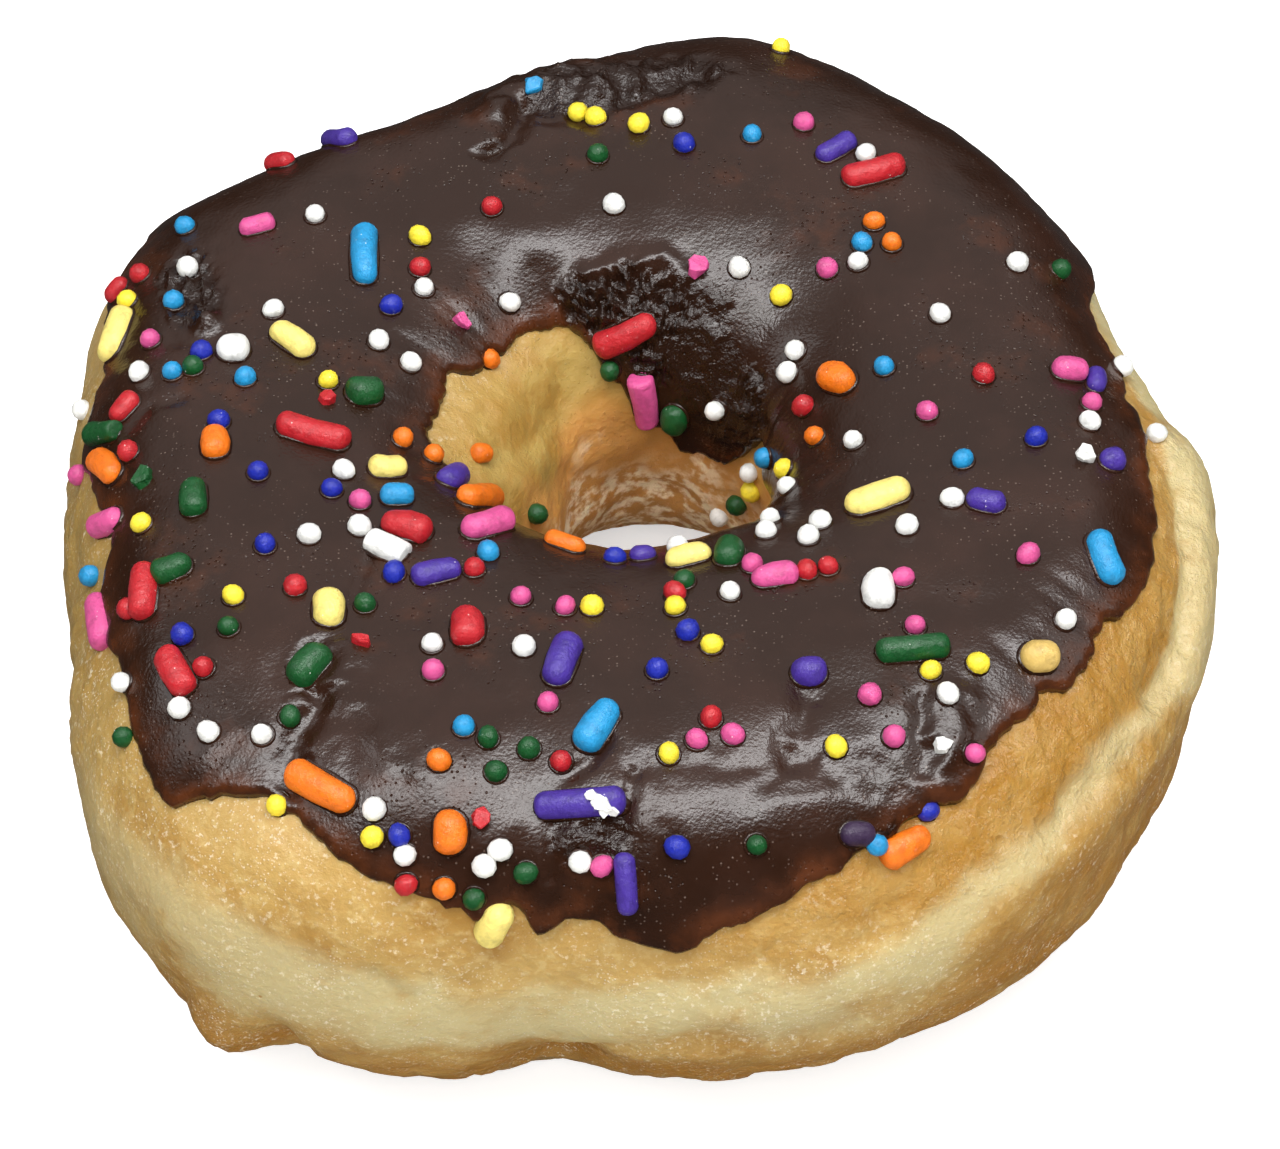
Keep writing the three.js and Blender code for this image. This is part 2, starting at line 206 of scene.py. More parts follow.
# Sugar pearls that the photograph shows, by colour, as pixels of their middles
PEARL_RADIUS = 0.88
PEARLS = {
    "white": [
        (315, 214), (424, 287), (190, 269), (273, 309), (379, 340), (411, 362), (139, 372), (82, 410),
        (344, 470), (309, 534), (360, 526), (121, 682), (179, 708), (208, 731), (262, 734),
        (715, 411), (749, 473), (719, 517), (770, 518), (766, 531), (820, 521), (808, 536),
        (730, 591), (432, 643), (524, 646), (795, 350), (787, 372), (673, 117), (614, 204),
        (510, 302), (739, 267), (866, 153), (858, 261), (1018, 262), (940, 313), (1123, 366),
        (853, 440), (1090, 421), (1157, 433), (952, 498), (907, 525), (374, 809), (405, 855),
        (500, 850), (484, 866), (580, 862), (677, 546), (787, 486), (948, 693), (1066, 619),
    ],
    "yellow": [
        (420, 236), (127, 300), (328, 380), (141, 523), (233, 595), (784, 469), (751, 492),
        (675, 606), (712, 644), (592, 606), (669, 753), (781, 47), (578, 112), (596, 117),
        (639, 123), (781, 295), (931, 670), (978, 663), (836, 746), (277, 805), (372, 837),
    ],
    "red": [
        (420, 267), (140, 274), (128, 451), (295, 586), (203, 667), (128, 609), (474, 568),
        (675, 592), (807, 570), (828, 566), (492, 206), (803, 406), (984, 374), (561, 761),
        (711, 717), (406, 885),
    ],
    "pink": [
        (150, 339), (78, 475), (360, 500), (521, 596), (565, 606), (433, 670), (548, 702),
        (733, 734), (697, 739), (752, 564), (804, 122), (827, 268), (927, 411), (1092, 402),
        (1028, 554), (903, 577), (915, 625), (870, 694), (894, 736), (975, 753), (602, 866),
    ],
    "navy": [
        (391, 305), (201, 351), (219, 420), (258, 471), (332, 488), (265, 544), (182, 634),
        (615, 557), (688, 630), (657, 669), (684, 143), (1036, 437), (399, 835), (677, 847),
        (928, 811), (394, 572),
    ],
    "blue": [
        (185, 226), (173, 301), (172, 371), (245, 377), (90, 576), (764, 458), (488, 551),
        (464, 726), (752, 134), (862, 242), (884, 366), (963, 459), (877, 845),
    ],
    "green": [
        (193, 366), (365, 603), (228, 626), (290, 716), (123, 737), (609, 372), (737, 505),
        (684, 580), (537, 514), (488, 737), (529, 748), (496, 771), (598, 154), (1061, 269),
        (526, 873), (757, 845), (474, 899),
    ],
    "orange": [
        (403, 438), (434, 454), (490, 359), (439, 760), (814, 436), (874, 221), (892, 242),
        (444, 889),
    ],
}
# The sugar strands that it shows: colour, pixel of the middle, length, width and angle in the image
STRANDS = [
    ("red", (274, 155), 32, 25, 0), ("purple", (337, 137), 40, 24, -10),
    ("pink", (257, 225), 37, 22, 15), ("blue", (364, 254), 64, 29, 90),
    ("red", (117, 290), 30, 18, 50), ("cream", (116, 334), 60, 29, 70),
    ("cream", (293, 339), 50, 29, -35), ("green", (365, 391), 38, 33, 0),
    ("red", (124, 407), 36, 25, 50), ("green", (103, 433), 36, 25, 10),
    ("orange", (105, 466), 42, 29, -45), ("orange", (215, 442), 36, 30, 90),
    ("green", (193, 497), 41, 28, 90), ("red", (313, 432), 75, 30, -15),
    ("pink", (106, 523), 41, 27, 20), ("cream", (388, 467), 38, 27, 0),
    ("blue", (397, 495), 33, 26, 0), ("red", (407, 526), 50, 32, -15),
    ("green", (171, 568), 41, 28, 20), ("red", (143, 591), 56, 30, 85),
    ("pink", (100, 620), 57, 31, -75), ("cream", (329, 608), 40, 33, 90),
    ("red", (175, 671), 52, 30, -60), ("green", (309, 665), 48, 34, 45),
    ("red", (625, 336), 68, 30, 25), ("pink", (644, 401), 54, 28, -80),
    ("green", (674, 420), 33, 29, 90), ("orange", (482, 453), 24, 22, 0),
    ("purple", (453, 477), 36, 28, 30), ("orange", (480, 497), 50, 30, 12),
    ("pink", (488, 524), 54, 30, 15), ("purple", (436, 572), 48, 26, 12),
    ("orange", (565, 543), 41, 22, -20), ("purple", (643, 555), 26, 20, 8),
    ("cream", (688, 556), 45, 27, 15), ("green", (729, 552), 36, 30, 70),
    ("pink", (775, 575), 46, 26, 12), ("red", (467, 626), 42, 38, 90),
    ("purple", (562, 659), 54, 31, 70), ("blue", (597, 725), 55, 31, 55),
    ("purple", (809, 671), 34, 31, 0), ("purple", (836, 148), 45, 24, 30),
    ("red", (874, 171), 66, 29, 15), ("orange", (837, 378), 40, 32, -20),
    ("pink", (1070, 369), 37, 28, -5), ("purple", (1096, 381), 28, 22, 90),
    ("purple", (1112, 460), 26, 26, 0), ("cream", (878, 497), 66, 34, 20),
    ("purple", (986, 501), 39, 25, -12), ("blue", (1105, 557), 56, 30, -70),
    ("white", (879, 589), 42, 33, 90), ("green", (913, 648), 70, 28, 5),
    ("tan", (1040, 656), 38, 33, 0), ("orange", (320, 787), 72, 32, -30),
    ("purple", (580, 803), 85, 29, 4), ("orange", (450, 832), 42, 34, 90),
    ("purple", (626, 884), 58, 20, -85), ("cream", (494, 924), 46, 32, 60),
    ("dark", (858, 834), 33, 25, 0), ("orange", (905, 846), 52, 30, 30),
    ("white", (233, 348), 33, 32, 0), ("white", (387, 547), 42, 28, -27),
]
# Of these, what was cut off square
CUT_STRANDS = {(387, 547), (644, 401), (103, 433)}
# Thin broken chips of sugar
CHIPS = [
    ("white", (1085, 454)), ("white", (943, 745)), ("red", (325, 397)), ("green", (143, 477)),
    ("red", (362, 641)), ("pink", (462, 321)), ("pink", (698, 266)), ("blue", (534, 85)),
    ("red", (480, 817)),
]
# White sugar that sticks to the purple strand
CRUMBS = [(592, 795), (599, 799), (605, 805), (611, 811), (603, 811), (615, 819), (597, 805)]
CRUMB_RADIUS = 0.55
# How far a sprinkle's middle stands over the icing, as a share of its radius
PEARL_LIFT = 0.32
STRAND_LIFT = 0.28
# Sprinkles that the photograph doesn't show, on the far side
HIDDEN_PEARLS = 34
HIDDEN_STRANDS = 14
SPRINKLE_SEED = 7
SUGAR = {
    "white": (0.74, 0.74, 0.71),
    "yellow": (0.80, 0.64, 0.035),
    "cream": (0.76, 0.62, 0.165),
    "red": (0.40, 0.011, 0.017),
    "pink": (0.55, 0.07, 0.23),
    "navy": (0.008, 0.017, 0.29),
    "blue": (0.012, 0.235, 0.48),
    "green": (0.004, 0.062, 0.013),
    "orange": (0.70, 0.145, 0.005),
    "purple": (0.047, 0.021, 0.23),
    "tan": (0.53, 0.36, 0.10),
    "dark": (0.032, 0.016, 0.045),
}

# How finely the pieces are shaped: points round the ring, and rows of them round the section
DOUGH_GRID = (480, 200)
ICING_GRID = (560, 168)
ICING_TOP_ROWS = 128  # the icing's other rows are its underside


def around(stations):
    """A smooth closed curve through (bearing, value) stations."""
    bearings, values = np.array(stations, float).T
    laps = np.concatenate([bearings - 360, bearings, bearings + 360])
    values = np.tile(values, 3)

    def curve(bearing):
        wrapped = np.mod(bearing, 360.0)
        i = np.clip(np.searchsorted(laps, wrapped, side="right") - 1, 1, len(laps) - 3)
        span = laps[i + 1] - laps[i]
        u = (wrapped - laps[i]) / span
        leave = (values[i + 1] - values[i - 1]) / (laps[i + 1] - laps[i - 1]) * span
        arrive = (values[i + 2] - values[i]) / (laps[i + 2] - laps[i]) * span
        return (
            (2 * u**3 - 3 * u**2 + 1) * values[i]
            + (u**3 - 2 * u**2 + u) * leave
            + (3 * u**2 - 2 * u**3) * values[i + 1]
            + (u**3 - u**2) * arrive
        )

    return curve


outer_radius = around(OUTER_RADIUS)
hole_radius = around(HOLE_RADIUS)
crest_radius = around(CREST_RADIUS)
height = around(HEIGHT)
funnel_squareness = around(FUNNEL_SQUARENESS)
band_line = around(BAND_LINE)
band_proud = around(BAND_PROUD)
outer_edge = around(OUTER_EDGE)
inner_edge = around(INNER_EDGE)


def hump(distance, width):
    """A bump of height 1 at 0 that fades out over the given width."""
    return np.exp(-((distance / width) ** 2))


def turn(start, end):
    """The shortest way from one angle to another, between -180 and 180."""
    return np.mod(end - start + 180, 360) - 180


def ramp(low, high, value):
    """Rises smoothly from 0 at low to 1 at high, which may be the lower of the two."""
    u = np.clip((value - low) / (high - low), 0, 1)
    return u * u * (3 - 2 * u)


def unevenness(bearing, section):
    """How far the band, the knobs and the swells stand out from the plain ring, in millimetres."""
    proud = band_proud(bearing) * hump(turn(band_line(bearing), section), BAND_WIDTH)
    for at, angle, wide, tall, out in LUMPS:
        proud = proud + out * hump(turn(at, bearing), wide) * hump(turn(angle, section), tall)
    round_count, round_start = RIPPLES_ROUND
    across_count, across_start = RIPPLES_ACROSS
    swell = np.sin(np.radians(round_count * bearing + round_start))
    swell = swell * np.cos(np.radians(across_count * section + across_start))
    return proud + RIPPLE_PROUD * swell


def dough_point(bearing, section):
    """A point of the dough's smooth surface, in millimetres from the foot's own centre."""
    across = np.cos(np.radians(section))
    up = np.sin(np.radians(section))
    in_the_hole = (across < 0) & (up > 0)
    corner = 2 / np.where(in_the_hole, funnel_squareness(bearing), OUTER_SQUARENESS)
    rounded_across = np.sign(across) * np.abs(across) ** corner
    rounded_up = np.sign(up) * np.abs(up) ** corner
    crest = crest_radius(bearing)
    reach = np.where(across > 0, outer_radius(bearing) - crest, crest - hole_radius(bearing))
    waist = WAIST_HEIGHT * height(bearing)
    rise = np.where(up > 0, height(bearing) - waist, waist + BASE_CUT)
    proud = unevenness(bearing, section)
    radius = crest + reach * rounded_across + proud * across
    z = np.maximum(waist + rise * rounded_up + proud * up, 0)
    x = radius * np.cos(np.radians(bearing))
    y = radius * np.sin(np.radians(bearing))
    return np.stack([x, y, z], axis=-1)


def dough_normal(bearing, section):
    """The direction that the dough's smooth surface faces."""
    step = 0.6  # degrees
    round_the_ring = dough_point(bearing + step, section) - dough_point(bearing - step, section)
    along = dough_point(bearing, section + step) - dough_point(bearing, section - step)
    normal = np.cross(round_the_ring, along)
    return normal / np.linalg.norm(normal, axis=-1, keepdims=True)


def form_shift():
    """From the form's own centre to the frame's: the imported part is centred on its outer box."""
    columns, rows = 720, 360
    bearings, sections = np.meshgrid(np.linspace(0, 360, columns), np.linspace(0, 360, rows))
    form = dough_point(bearings, sections)
    middle = (form.min(axis=(0, 1)) + form.max(axis=(0, 1))) / 2 * MM
    low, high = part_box("dough")
    return np.array([(low.x + high.x) / 2 - middle[0], (low.y + high.y) / 2 - middle[1], 0])


SHIFT = form_shift()


def placed(points):
    """Points of the form, in millimetres, as places in the frame, in metres."""
    return points * MM + SHIFT


# The camera, and the way from the photograph's pixels to the object
def view_axes():
    """The directions to the right, up and ahead in the photograph."""
    slope = math.radians(VIEW_ELEVATION)
    right = Vector((1, 0, 0))
    up = Vector((0, math.sin(slope), math.cos(slope)))
    ahead = Vector((0, math.cos(slope), -math.sin(slope)))
    return right, up, ahead


RIGHT, UP, AHEAD = view_axes()
AIM = Vector((SHIFT[0], SHIFT[1], AIM_HEIGHT))
EYE = AIM - AHEAD * VIEW_DISTANCE
# How far from the aim's pixel a ray shows that slopes away from the middle one by 1 in 1
PIXELS_PER_SLOPE = PHOTO_WIDTH / VIEW_WIDTH * VIEW_DISTANCE


def ray_through(pixel):
    """The direction from the camera through a pixel of the photograph."""
    across = (pixel[0] - AIM_PIXEL[0]) / PIXELS_PER_SLOPE
    down = (pixel[1] - AIM_PIXEL[1]) / PIXELS_PER_SLOPE
    return (AHEAD + RIGHT * across - UP * down).normalized()


def pixel_of(point):
    """The photograph's pixel that shows a point."""
    away = point - EYE
    depth = away.dot(AHEAD)
    x = AIM_PIXEL[0] + PIXELS_PER_SLOPE * away.dot(RIGHT) / depth
    y = AIM_PIXEL[1] - PIXELS_PER_SLOPE * away.dot(UP) / depth
    return x, y


def add_camera():
    camera = bpy.data.cameras.new("photo_camera")
    camera.sensor_width = SENSOR_WIDTH
    camera.sensor_fit = "HORIZONTAL"
    camera.lens = SENSOR_WIDTH * VIEW_DISTANCE / VIEW_WIDTH
    camera.shift_x = (PHOTO_WIDTH / 2 - AIM_PIXEL[0]) / PHOTO_WIDTH
    camera.shift_y = (AIM_PIXEL[1] - PHOTO_HEIGHT / 2) / PHOTO_WIDTH
    holder = bpy.data.objects.new("photo_camera", camera)
    bpy.context.scene.collection.objects.link(holder)
    holder.location = EYE
    holder.rotation_euler = (math.radians(90 - VIEW_ELEVATION), 0, 0)
    bpy.context.scene.camera = holder


add_camera()


def on_form(pixel):
    """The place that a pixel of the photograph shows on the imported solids, in form millimetres."""
    place, _, _, _ = solids.ray_cast(EYE, ray_through(pixel))
    if place is None:
        place = solids.find_nearest(EYE + ray_through(pixel) * VIEW_DISTANCE)[0]
    return (np.array(place) - SHIFT) / MM


def line_distance(points, corners):
    """How far points lie from a line through corners, in millimetres."""
    nearest = np.full(points.shape[:-1], np.inf)
    for start, end in zip(corners, corners[1:]):
        span = end - start
        along = np.clip((points - start) @ span / (span @ span), 0, 1)
        gap = np.linalg.norm(points - start - along[..., None] * span, axis=-1)
        nearest = np.minimum(nearest, gap)
    return nearest


# Making and finishing pieces
WELD_REACH = 0.001 * MM
CREASE_WANDER = (0.8, 2.5)  # of a crease's line: a share of its width, and the wander's size
TORN_WANDER = 0.35
TORN_FADE = (1.25, 0.6)  # a torn patch sets in between these shares of its reach
CRUMB_LEVEL = 0.45  # the crumbs' height that counts as the icing's own
FINE_CRUMBS = (0.5, 0.6)  # finer ones on them: their share of the height and of the size


def deselect_all():
    for item in bpy.context.selected_objects:
        item.select_set(False)


def choose(*items):
    deselect_all()
    for item in items:
        item.select_set(True)
    bpy.context.view_layer.objects.active = items[0]


def noise_at(points, size, octaves=3, offset=0.0):
    """Smooth random values round 0 at points in millimetres, with features of the given size."""
    away = Vector((offset, -offset, 2 * offset))
    flat = points.reshape(-1, 3) / size
    roughness, step_down = 1.0, 2.0
    values = [noise.fractal(Vector(point) + away, roughness, step_down, octaves) for point in flat]
    return np.array(values).reshape(points.shape[:-1])


def ridges_at(points, size, offset=0.0):
    """Sharp crests with round valleys between them, from 0 to about 1."""
    steepness = 3
    return 1 - np.clip(np.abs(noise_at(points, size, 2, offset)) * steepness, 0, 1)


def swells(layer, points, offset, octaves=3):
    """Soft relief, given as its height and the size of its features in millimetres."""
    height_of, size_of = layer
    return height_of * noise_at(points, size_of, octaves, offset)


def wrinkles(layer, points, offset, level=0):
    """Sharp relief, given in the same way, and counted from a level between valley and crest."""
    height_of, size_of = layer
    return height_of * (ridges_at(points, size_of, offset) - level)


def ring_piece(name, points, masks):
    """A grid rolled up into a closed ring. Each mask is a value that its material reads by name."""
    count, rows = points.shape[:2]
    deselect_all()
    bpy.ops.mesh.primitive_grid_add(x_subdivisions=count, y_subdivisions=rows, size=2)
    piece = bpy.context.active_object
    piece.name = name
    mesh = piece.data
    mesh.name = name
    flat = np.zeros(len(mesh.vertices) * 3, np.float32)
    mesh.vertices.foreach_get("co", flat)
    flat = flat.reshape(-1, 3)
    column = np.rint((flat[:, 0] + 1) / 2 * count).astype(int) % count
    row = np.rint((flat[:, 1] + 1) / 2 * rows).astype(int) % rows
    mesh.vertices.foreach_set("co", placed(points[column, row]).astype(np.float32).ravel())
    for mask, values in masks.items():
        mesh.attributes.new(mask, "FLOAT", "POINT")
        spread = np.clip(values[column, row], 0, 1).astype(np.float32)
        mesh.attributes[mask].data.foreach_set("value", spread.ravel())
    bpy.ops.object.mode_set(mode="EDIT")
    bpy.ops.mesh.select_all(action="SELECT")
    bpy.ops.mesh.remove_doubles(threshold=WELD_REACH)
    bpy.ops.mesh.normals_make_consistent(inside=False)
    bpy.ops.object.mode_set(mode="OBJECT")
    bpy.ops.object.shade_smooth()
    return piece


def tree_of(*pieces):
    """What rays from the camera can hit: the pieces as they stand."""
    points = []
    faces = []
    for piece in pieces:
        first = len(points)
        points.extend(v.co.copy() for v in piece.data.vertices)
        faces.extend([first + i for i in face.vertices] for face in piece.data.polygons)
    return BVHTree.FromPolygons(points, faces)


solids = tree_of(*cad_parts.values())


def spot_on(points, pixel):
    """The one of a surface's points that lies nearest to what a pixel shows."""
    away = np.linalg.norm(points - on_form(pixel), axis=-1)
    return points[np.unravel_index(away.argmin(), away.shape)]


def lines_relief(points, lines):
    """What creases add to a surface: each is pixels along it, its width and its height."""
    total = np.zeros(points.shape[:-1])
    share, size = CREASE_WANDER
    wander = np.stack([noise_at(points, size, 2, offset) for offset in (0.4, 5.2, 8.6)], axis=-1)
    for pixels, width, out in lines:
        corners = [spot_on(points, pixel) for pixel in pixels]
        total += out * hump(line_distance(points + share * width * wander, corners), width)
    return total


def dents_relief(points):
    """What dents take from a surface."""
    total = np.zeros(points.shape[:-1])
    for pixel, reach, depth in DENTS:
        away = np.linalg.norm(points - spot_on(points, pixel), axis=-1)
        total -= depth * hump(away, reach)
    return total


def torn_relief(points):
    """The crumbly patches' heights, and how torn each point is."""
    total = np.zeros(points.shape[:-1])
    torn = np.zeros(points.shape[:-1])
    outside, inside = TORN_FADE
    share, finer = FINE_CRUMBS
    for pixels, reach, grain, tall in TORN:
        corners = [spot_on(points, pixel) for pixel in pixels]
        away = line_distance(points, corners)
        away = away + TORN_WANDER * reach * noise_at(points, reach, 2, offset=grain)
        patch = ramp(outside * reach, inside * reach, away)
        crumbs = ridges_at(points, grain, offset=grain) - CRUMB_LEVEL
        crumbs = crumbs + share * noise_at(points, finer * grain, 2, offset=1.7)
        total += tall * patch * crumbs
        torn = np.maximum(torn, patch)
    return total, torn


# The dough. Its pale band never touched the oil: the section angles of its lower and upper rims
PALE_FROM = [
    (0, 18), (20, 12), (45, 6), (90, 0), (135, -2), (180, 2), (210, 3), (224, 1), (230, 4), (236, -1),
    (244, -3), (250, -4), (257, -7), (266, -4), (272, -2), (280, -1), (290, 1), (296, 3), (303, 16),
    (309, 21), (314, 24), (321, 26), (331, 19), (338, 10), (345, 11), (352, 14),
]
PALE_TO = [
    (0, 44), (20, 36), (45, 28), (90, 20), (135, 18), (180, 16), (210, 14), (224, 17), (230, 19),
    (236, 20), (241, 16), (249, 8), (257, 1), (266, 4), (271, 7), (281, 11), (292, 14), (298, 18),
    (304, 26), (309, 29), (314, 31), (321, 34), (327, 28), (331, 27), (337, 29.5), (341, 34),
    (345, 39), (352, 43),
]
pale_from = around(PALE_FROM)
pale_to = around(PALE_TO)
BAND_BLUR = 7  # how softly the band's rims fade, in degrees
SHARPER_BLUR = 5.5  # how much less they do on the right
BAND_WANDER = 0.9  # how far the rims wander, as a share of the blur
BAND_WANDER_SIZE = 6.0
BAND_SOFTNESS = 0.6  # the share of the blur that lies inside the rims
LEFT_FADE = 0.8  # how much of the band's colour is lost on the left, and at the front right
FRONT_RIGHT_FADE = 0.3
GLAZE_FADE = 0.85  # how much of the sugar on the skin melted in the glaze

# Places on the dough: the bearing or section angle of the middle, and how wide they reach
SQUEEZED_SIDE = (195, 22)
SQUEEZED_ROWS = (18, 22)
GLAZED_SIDE = (316, 58)
SHARP_SIDE = (345, 25)
LEFT_SIDE = (180, 42)
# Where shade is painted: a darker gold over the dough's left side
PAINTED_SHADE_SIDE = (190, 34)
FRONT_RIGHT_SIDE = (325, 45)
# GLOW_ROWS places painted light on the hole's upper wall: the angle of its middle and its reach
GLOW_ROWS = (-38, 22)
# Rows of the section: the angles where they start, are full, are still full and end. Those in the
# hole, here and below, are counted downwards from its narrowest row
GLAZED_ROWS = (8, 30, 80, 110)
HOLE_ROWS = (-60, -40, 60, 75)
# Angles where a stain starts and is full: below the band, towards the floor, and down the hole
UNDERFOLD_BELOW_BAND = (2, 18)
UNDERFOLD_ABOVE_FLOOR = (-90, -60)
CRUST_BELOW_BAND = (0, 20)
CRUST_ABOVE_FLOOR = (-100, -80)
UNDERSIDE_IN_HOLE = (40, 62)
UNDERSIDE_OUTSIDE = (-36, -55)
BROWN_IN_HOLE = (-27, -6)
CRUST_IN_HOLE = (-5, 6)
GLOW_WANDER = 2
CRUST_WANDER = 2.2

# Relief of the skin: its height, and the size of its features, in millimetres
SWELLS = (0.42, 9.0)
FINE_SWELLS = (0.12, 2.4)
SQUEEZED_WRINKLES = (0.5, 3.2)
UNDERFOLDS = (0.25, 4.5)
BLISTER_RIDGES = (0.26, 2.6)
UPRIGHT = np.array([1, 1, 0.22])  # draws the wrinkles of the squeezed side out up and down
FOOT_HEIGHTS = (0.2, 2.5)  # the relief sets in between these heights above the floor


def near(place, angle):
    """How near angles are to a place, given as its own angle and how wide it reaches."""
    middle, width = place
    return hump(turn(middle, angle), width)


def between(rows, angle):
    """1 between the inner two of four angles, fading out to the outer two."""
    start, full, still_full, end = rows
    return ramp(start, full, angle) * ramp(end, still_full, angle)


def dough_relief(bearing, section, smooth, glazed):
    """How far the skin stands out from the dough's smooth form, in millimetres."""
    angle = turn(0, section)
    squeezed = near(SQUEEZED_SIDE, bearing) * near(SQUEEZED_ROWS, section)
    folded = ramp(*UNDERFOLD_BELOW_BAND, pale_from(bearing) - angle)
    folded = folded * ramp(*UNDERFOLD_ABOVE_FLOOR, angle)
    out = swells(SWELLS, smooth, offset=3.1) + swells(FINE_SWELLS, smooth, offset=7.7)
    out = out + squeezed * wrinkles(SQUEEZED_WRINKLES, smooth * UPRIGHT, offset=5.5, level=0.5)
    out = out - folded * wrinkles(UNDERFOLDS, smooth, offset=1.3)
    out = out + lines_relief(smooth, DOUGH_FOLDS)
    out = out + glazed * wrinkles(BLISTER_RIDGES, smooth, offset=8.8, level=0.4)
    return out * ramp(*FOOT_HEIGHTS, smooth[..., 2])


def dough_masks(bearing, section, smooth, glazed):
    """Where each colour of the dough lies, from 0 to 1, by the names its material reads."""
    angle = turn(0, section)
    blur = BAND_BLUR - SHARPER_BLUR * near(SHARP_SIDE, bearing)
    wander = BAND_WANDER * blur * noise_at(smooth, BAND_WANDER_SIZE, 4, offset=9.2)
    low = pale_from(bearing) + wander
    high = pale_to(bearing) + wander
    inside = BAND_SOFTNESS * blur
    band = between((low - blur, low + inside, high - inside, high + blur), angle)
    faded = 1 - LEFT_FADE * near(LEFT_SIDE, bearing)
    faded = faded * (1 - FRONT_RIGHT_FADE * near(FRONT_RIGHT_SIDE, bearing))
    down = turn(180, section)
    hole = between(HOLE_ROWS, down)
    glow_row, glow_reach = GLOW_ROWS
    return {
        "pale": band * faded,
        # painted shade on the left side, outside the hole
        "painted_shade_left": near(PAINTED_SHADE_SIDE, bearing) * (1 - hole),
        "glazed": glazed,
        "sugared": (1 - hole) * (1 - GLAZE_FADE * glazed),
        "crust": ramp(*CRUST_BELOW_BAND, low - angle) * ramp(*CRUST_ABOVE_FLOOR, angle),
        "underside": ramp(*UNDERSIDE_IN_HOLE, down) * ramp(*UNDERSIDE_OUTSIDE, angle),
        "hole_wall": hole,
        # painted light high on the hole's wall
        "hole_glow": hole * hump(down - glow_row + GLOW_WANDER * wander, glow_reach),
        # the brown band and crust down the hole, whose colours also carry painted light
        "lit_hole_brown": hole * ramp(*BROWN_IN_HOLE, down + CRUST_WANDER * wander),
        "lit_hole_crust": hole * ramp(*CRUST_IN_HOLE, down + CRUST_WANDER * wander),
    }


def shape_dough():
    count, rows = DOUGH_GRID
    bearing = np.arange(count)[:, None] * 360 / count
    section = np.arange(rows)[None, :] * 360 / rows
    bearing, section = np.broadcast_arrays(bearing, section)
    smooth = dough_point(bearing, section)
    glazed = near(GLAZED_SIDE, bearing) * between(GLAZED_ROWS, turn(0, section))
    out = dough_relief(bearing, section, smooth, glazed)
    points = smooth + dough_normal(bearing, section) * out[..., None]
    points[..., 2] = np.maximum(points[..., 2], 0)
    return ring_piece("fried_dough", points, dough_masks(bearing, section, smooth, glazed))


# The icing, in millimetres
LIP_REACH = (0.5, 7)  # it thickens from the lip to the full coat between these distances from an edge
LIP_RADIUS = 1.1  # of the round at its edges
COAT_SWELLS = (0.3, 11.0)
COAT_RIPPLES = (0.06, 3.0)
THINNEST = 0.4
MOST_RELIEF = 1.5
THIN_REACH = (0.2, 3.2)  # the colour of a thin coat fades out between these distances
THIN_WANDER = (0.8, 2.5)
RAGGED_SIZE = 2.2


def ragged(bearing, edge):
    """Section angles of an edge with small, uneven waves."""
    return edge + RAGGED * noise_at(dough_point(bearing, edge), RAGGED_SIZE, 3, offset=0.9)


def icing_layout():
    """Bearings and section angles of the icing's grid: its outer side first, then its underside."""
    count, rows = ICING_GRID
    bearing = np.arange(count) * 360 / count
    top = np.arange(ICING_TOP_ROWS + 1) / ICING_TOP_ROWS
    back_rows = rows - ICING_TOP_ROWS
    back = 1 - np.arange(1, back_rows) / back_rows
    share = np.concatenate([top, back])
    start = ragged(bearing, outer_edge(bearing))[:, None]
    end = ragged(bearing, inner_edge(bearing))[:, None]
    section = start + (end - start) * share[None, :]
    return np.broadcast_to(bearing[:, None], section.shape), section


def edge_distance(points):
    """How far each point lies from the nearer edge, along its own section."""
    steps = np.linalg.norm(np.diff(points, axis=1), axis=-1)
    run = np.concatenate([np.zeros((len(points), 1)), np.cumsum(steps, axis=1)], axis=1)
    return np.minimum(run, run[:, -1:] - run)


def shape_icing():
    bearing, section = icing_layout()
    base = dough_point(bearing, section)
    normal = dough_normal(bearing, section)
    top = ICING_TOP_ROWS + 1
    from_edge = edge_distance(base[:, :top])

    body = ICING_LIP + (ICING_THICKNESS - ICING_LIP) * ramp(*LIP_REACH, from_edge)
    rounding = np.sqrt(np.clip(1 - (1 - np.clip(from_edge / LIP_RADIUS, 0, 1)) ** 2, 0, 1))
    over = base[:, :top] + ICING_THICKNESS * normal[:, :top]
    relief = swells(COAT_SWELLS, over, offset=2.2, octaves=2)
    relief += swells(COAT_RIPPLES, over, offset=4.4, octaves=2)
    crumbs, torn_here = torn_relief(over)
    relief += lines_relief(over, CREASES) + dents_relief(over) + crumbs
    relief = np.clip(relief, THINNEST - body, MOST_RELIEF)
    thickness = (body + relief) * rounding
    lifted = np.full(section.shape, -ICING_SINK)
    lifted[:, :top] = -ICING_SINK + (thickness + ICING_SINK) * (rounding > 0)
    points = base + normal * lifted[..., None]

    thin = np.zeros(section.shape)
    wander = swells(THIN_WANDER, over, offset=6.1, octaves=2)
    thin[:, :top] = 1 - ramp(*THIN_REACH, from_edge + wander)
    torn = np.zeros(section.shape)
    torn[:, :top] = torn_here
    return ring_piece("chocolate_coat", points, {"thin_edge": thin, "torn": torn})


# Materials
def new_material(name):
    made = bpy.data.materials.new(name)
    made.use_nodes = True
    nodes = made.node_tree.nodes
    return made, nodes, made.node_tree.links, nodes["Principled BSDF"]


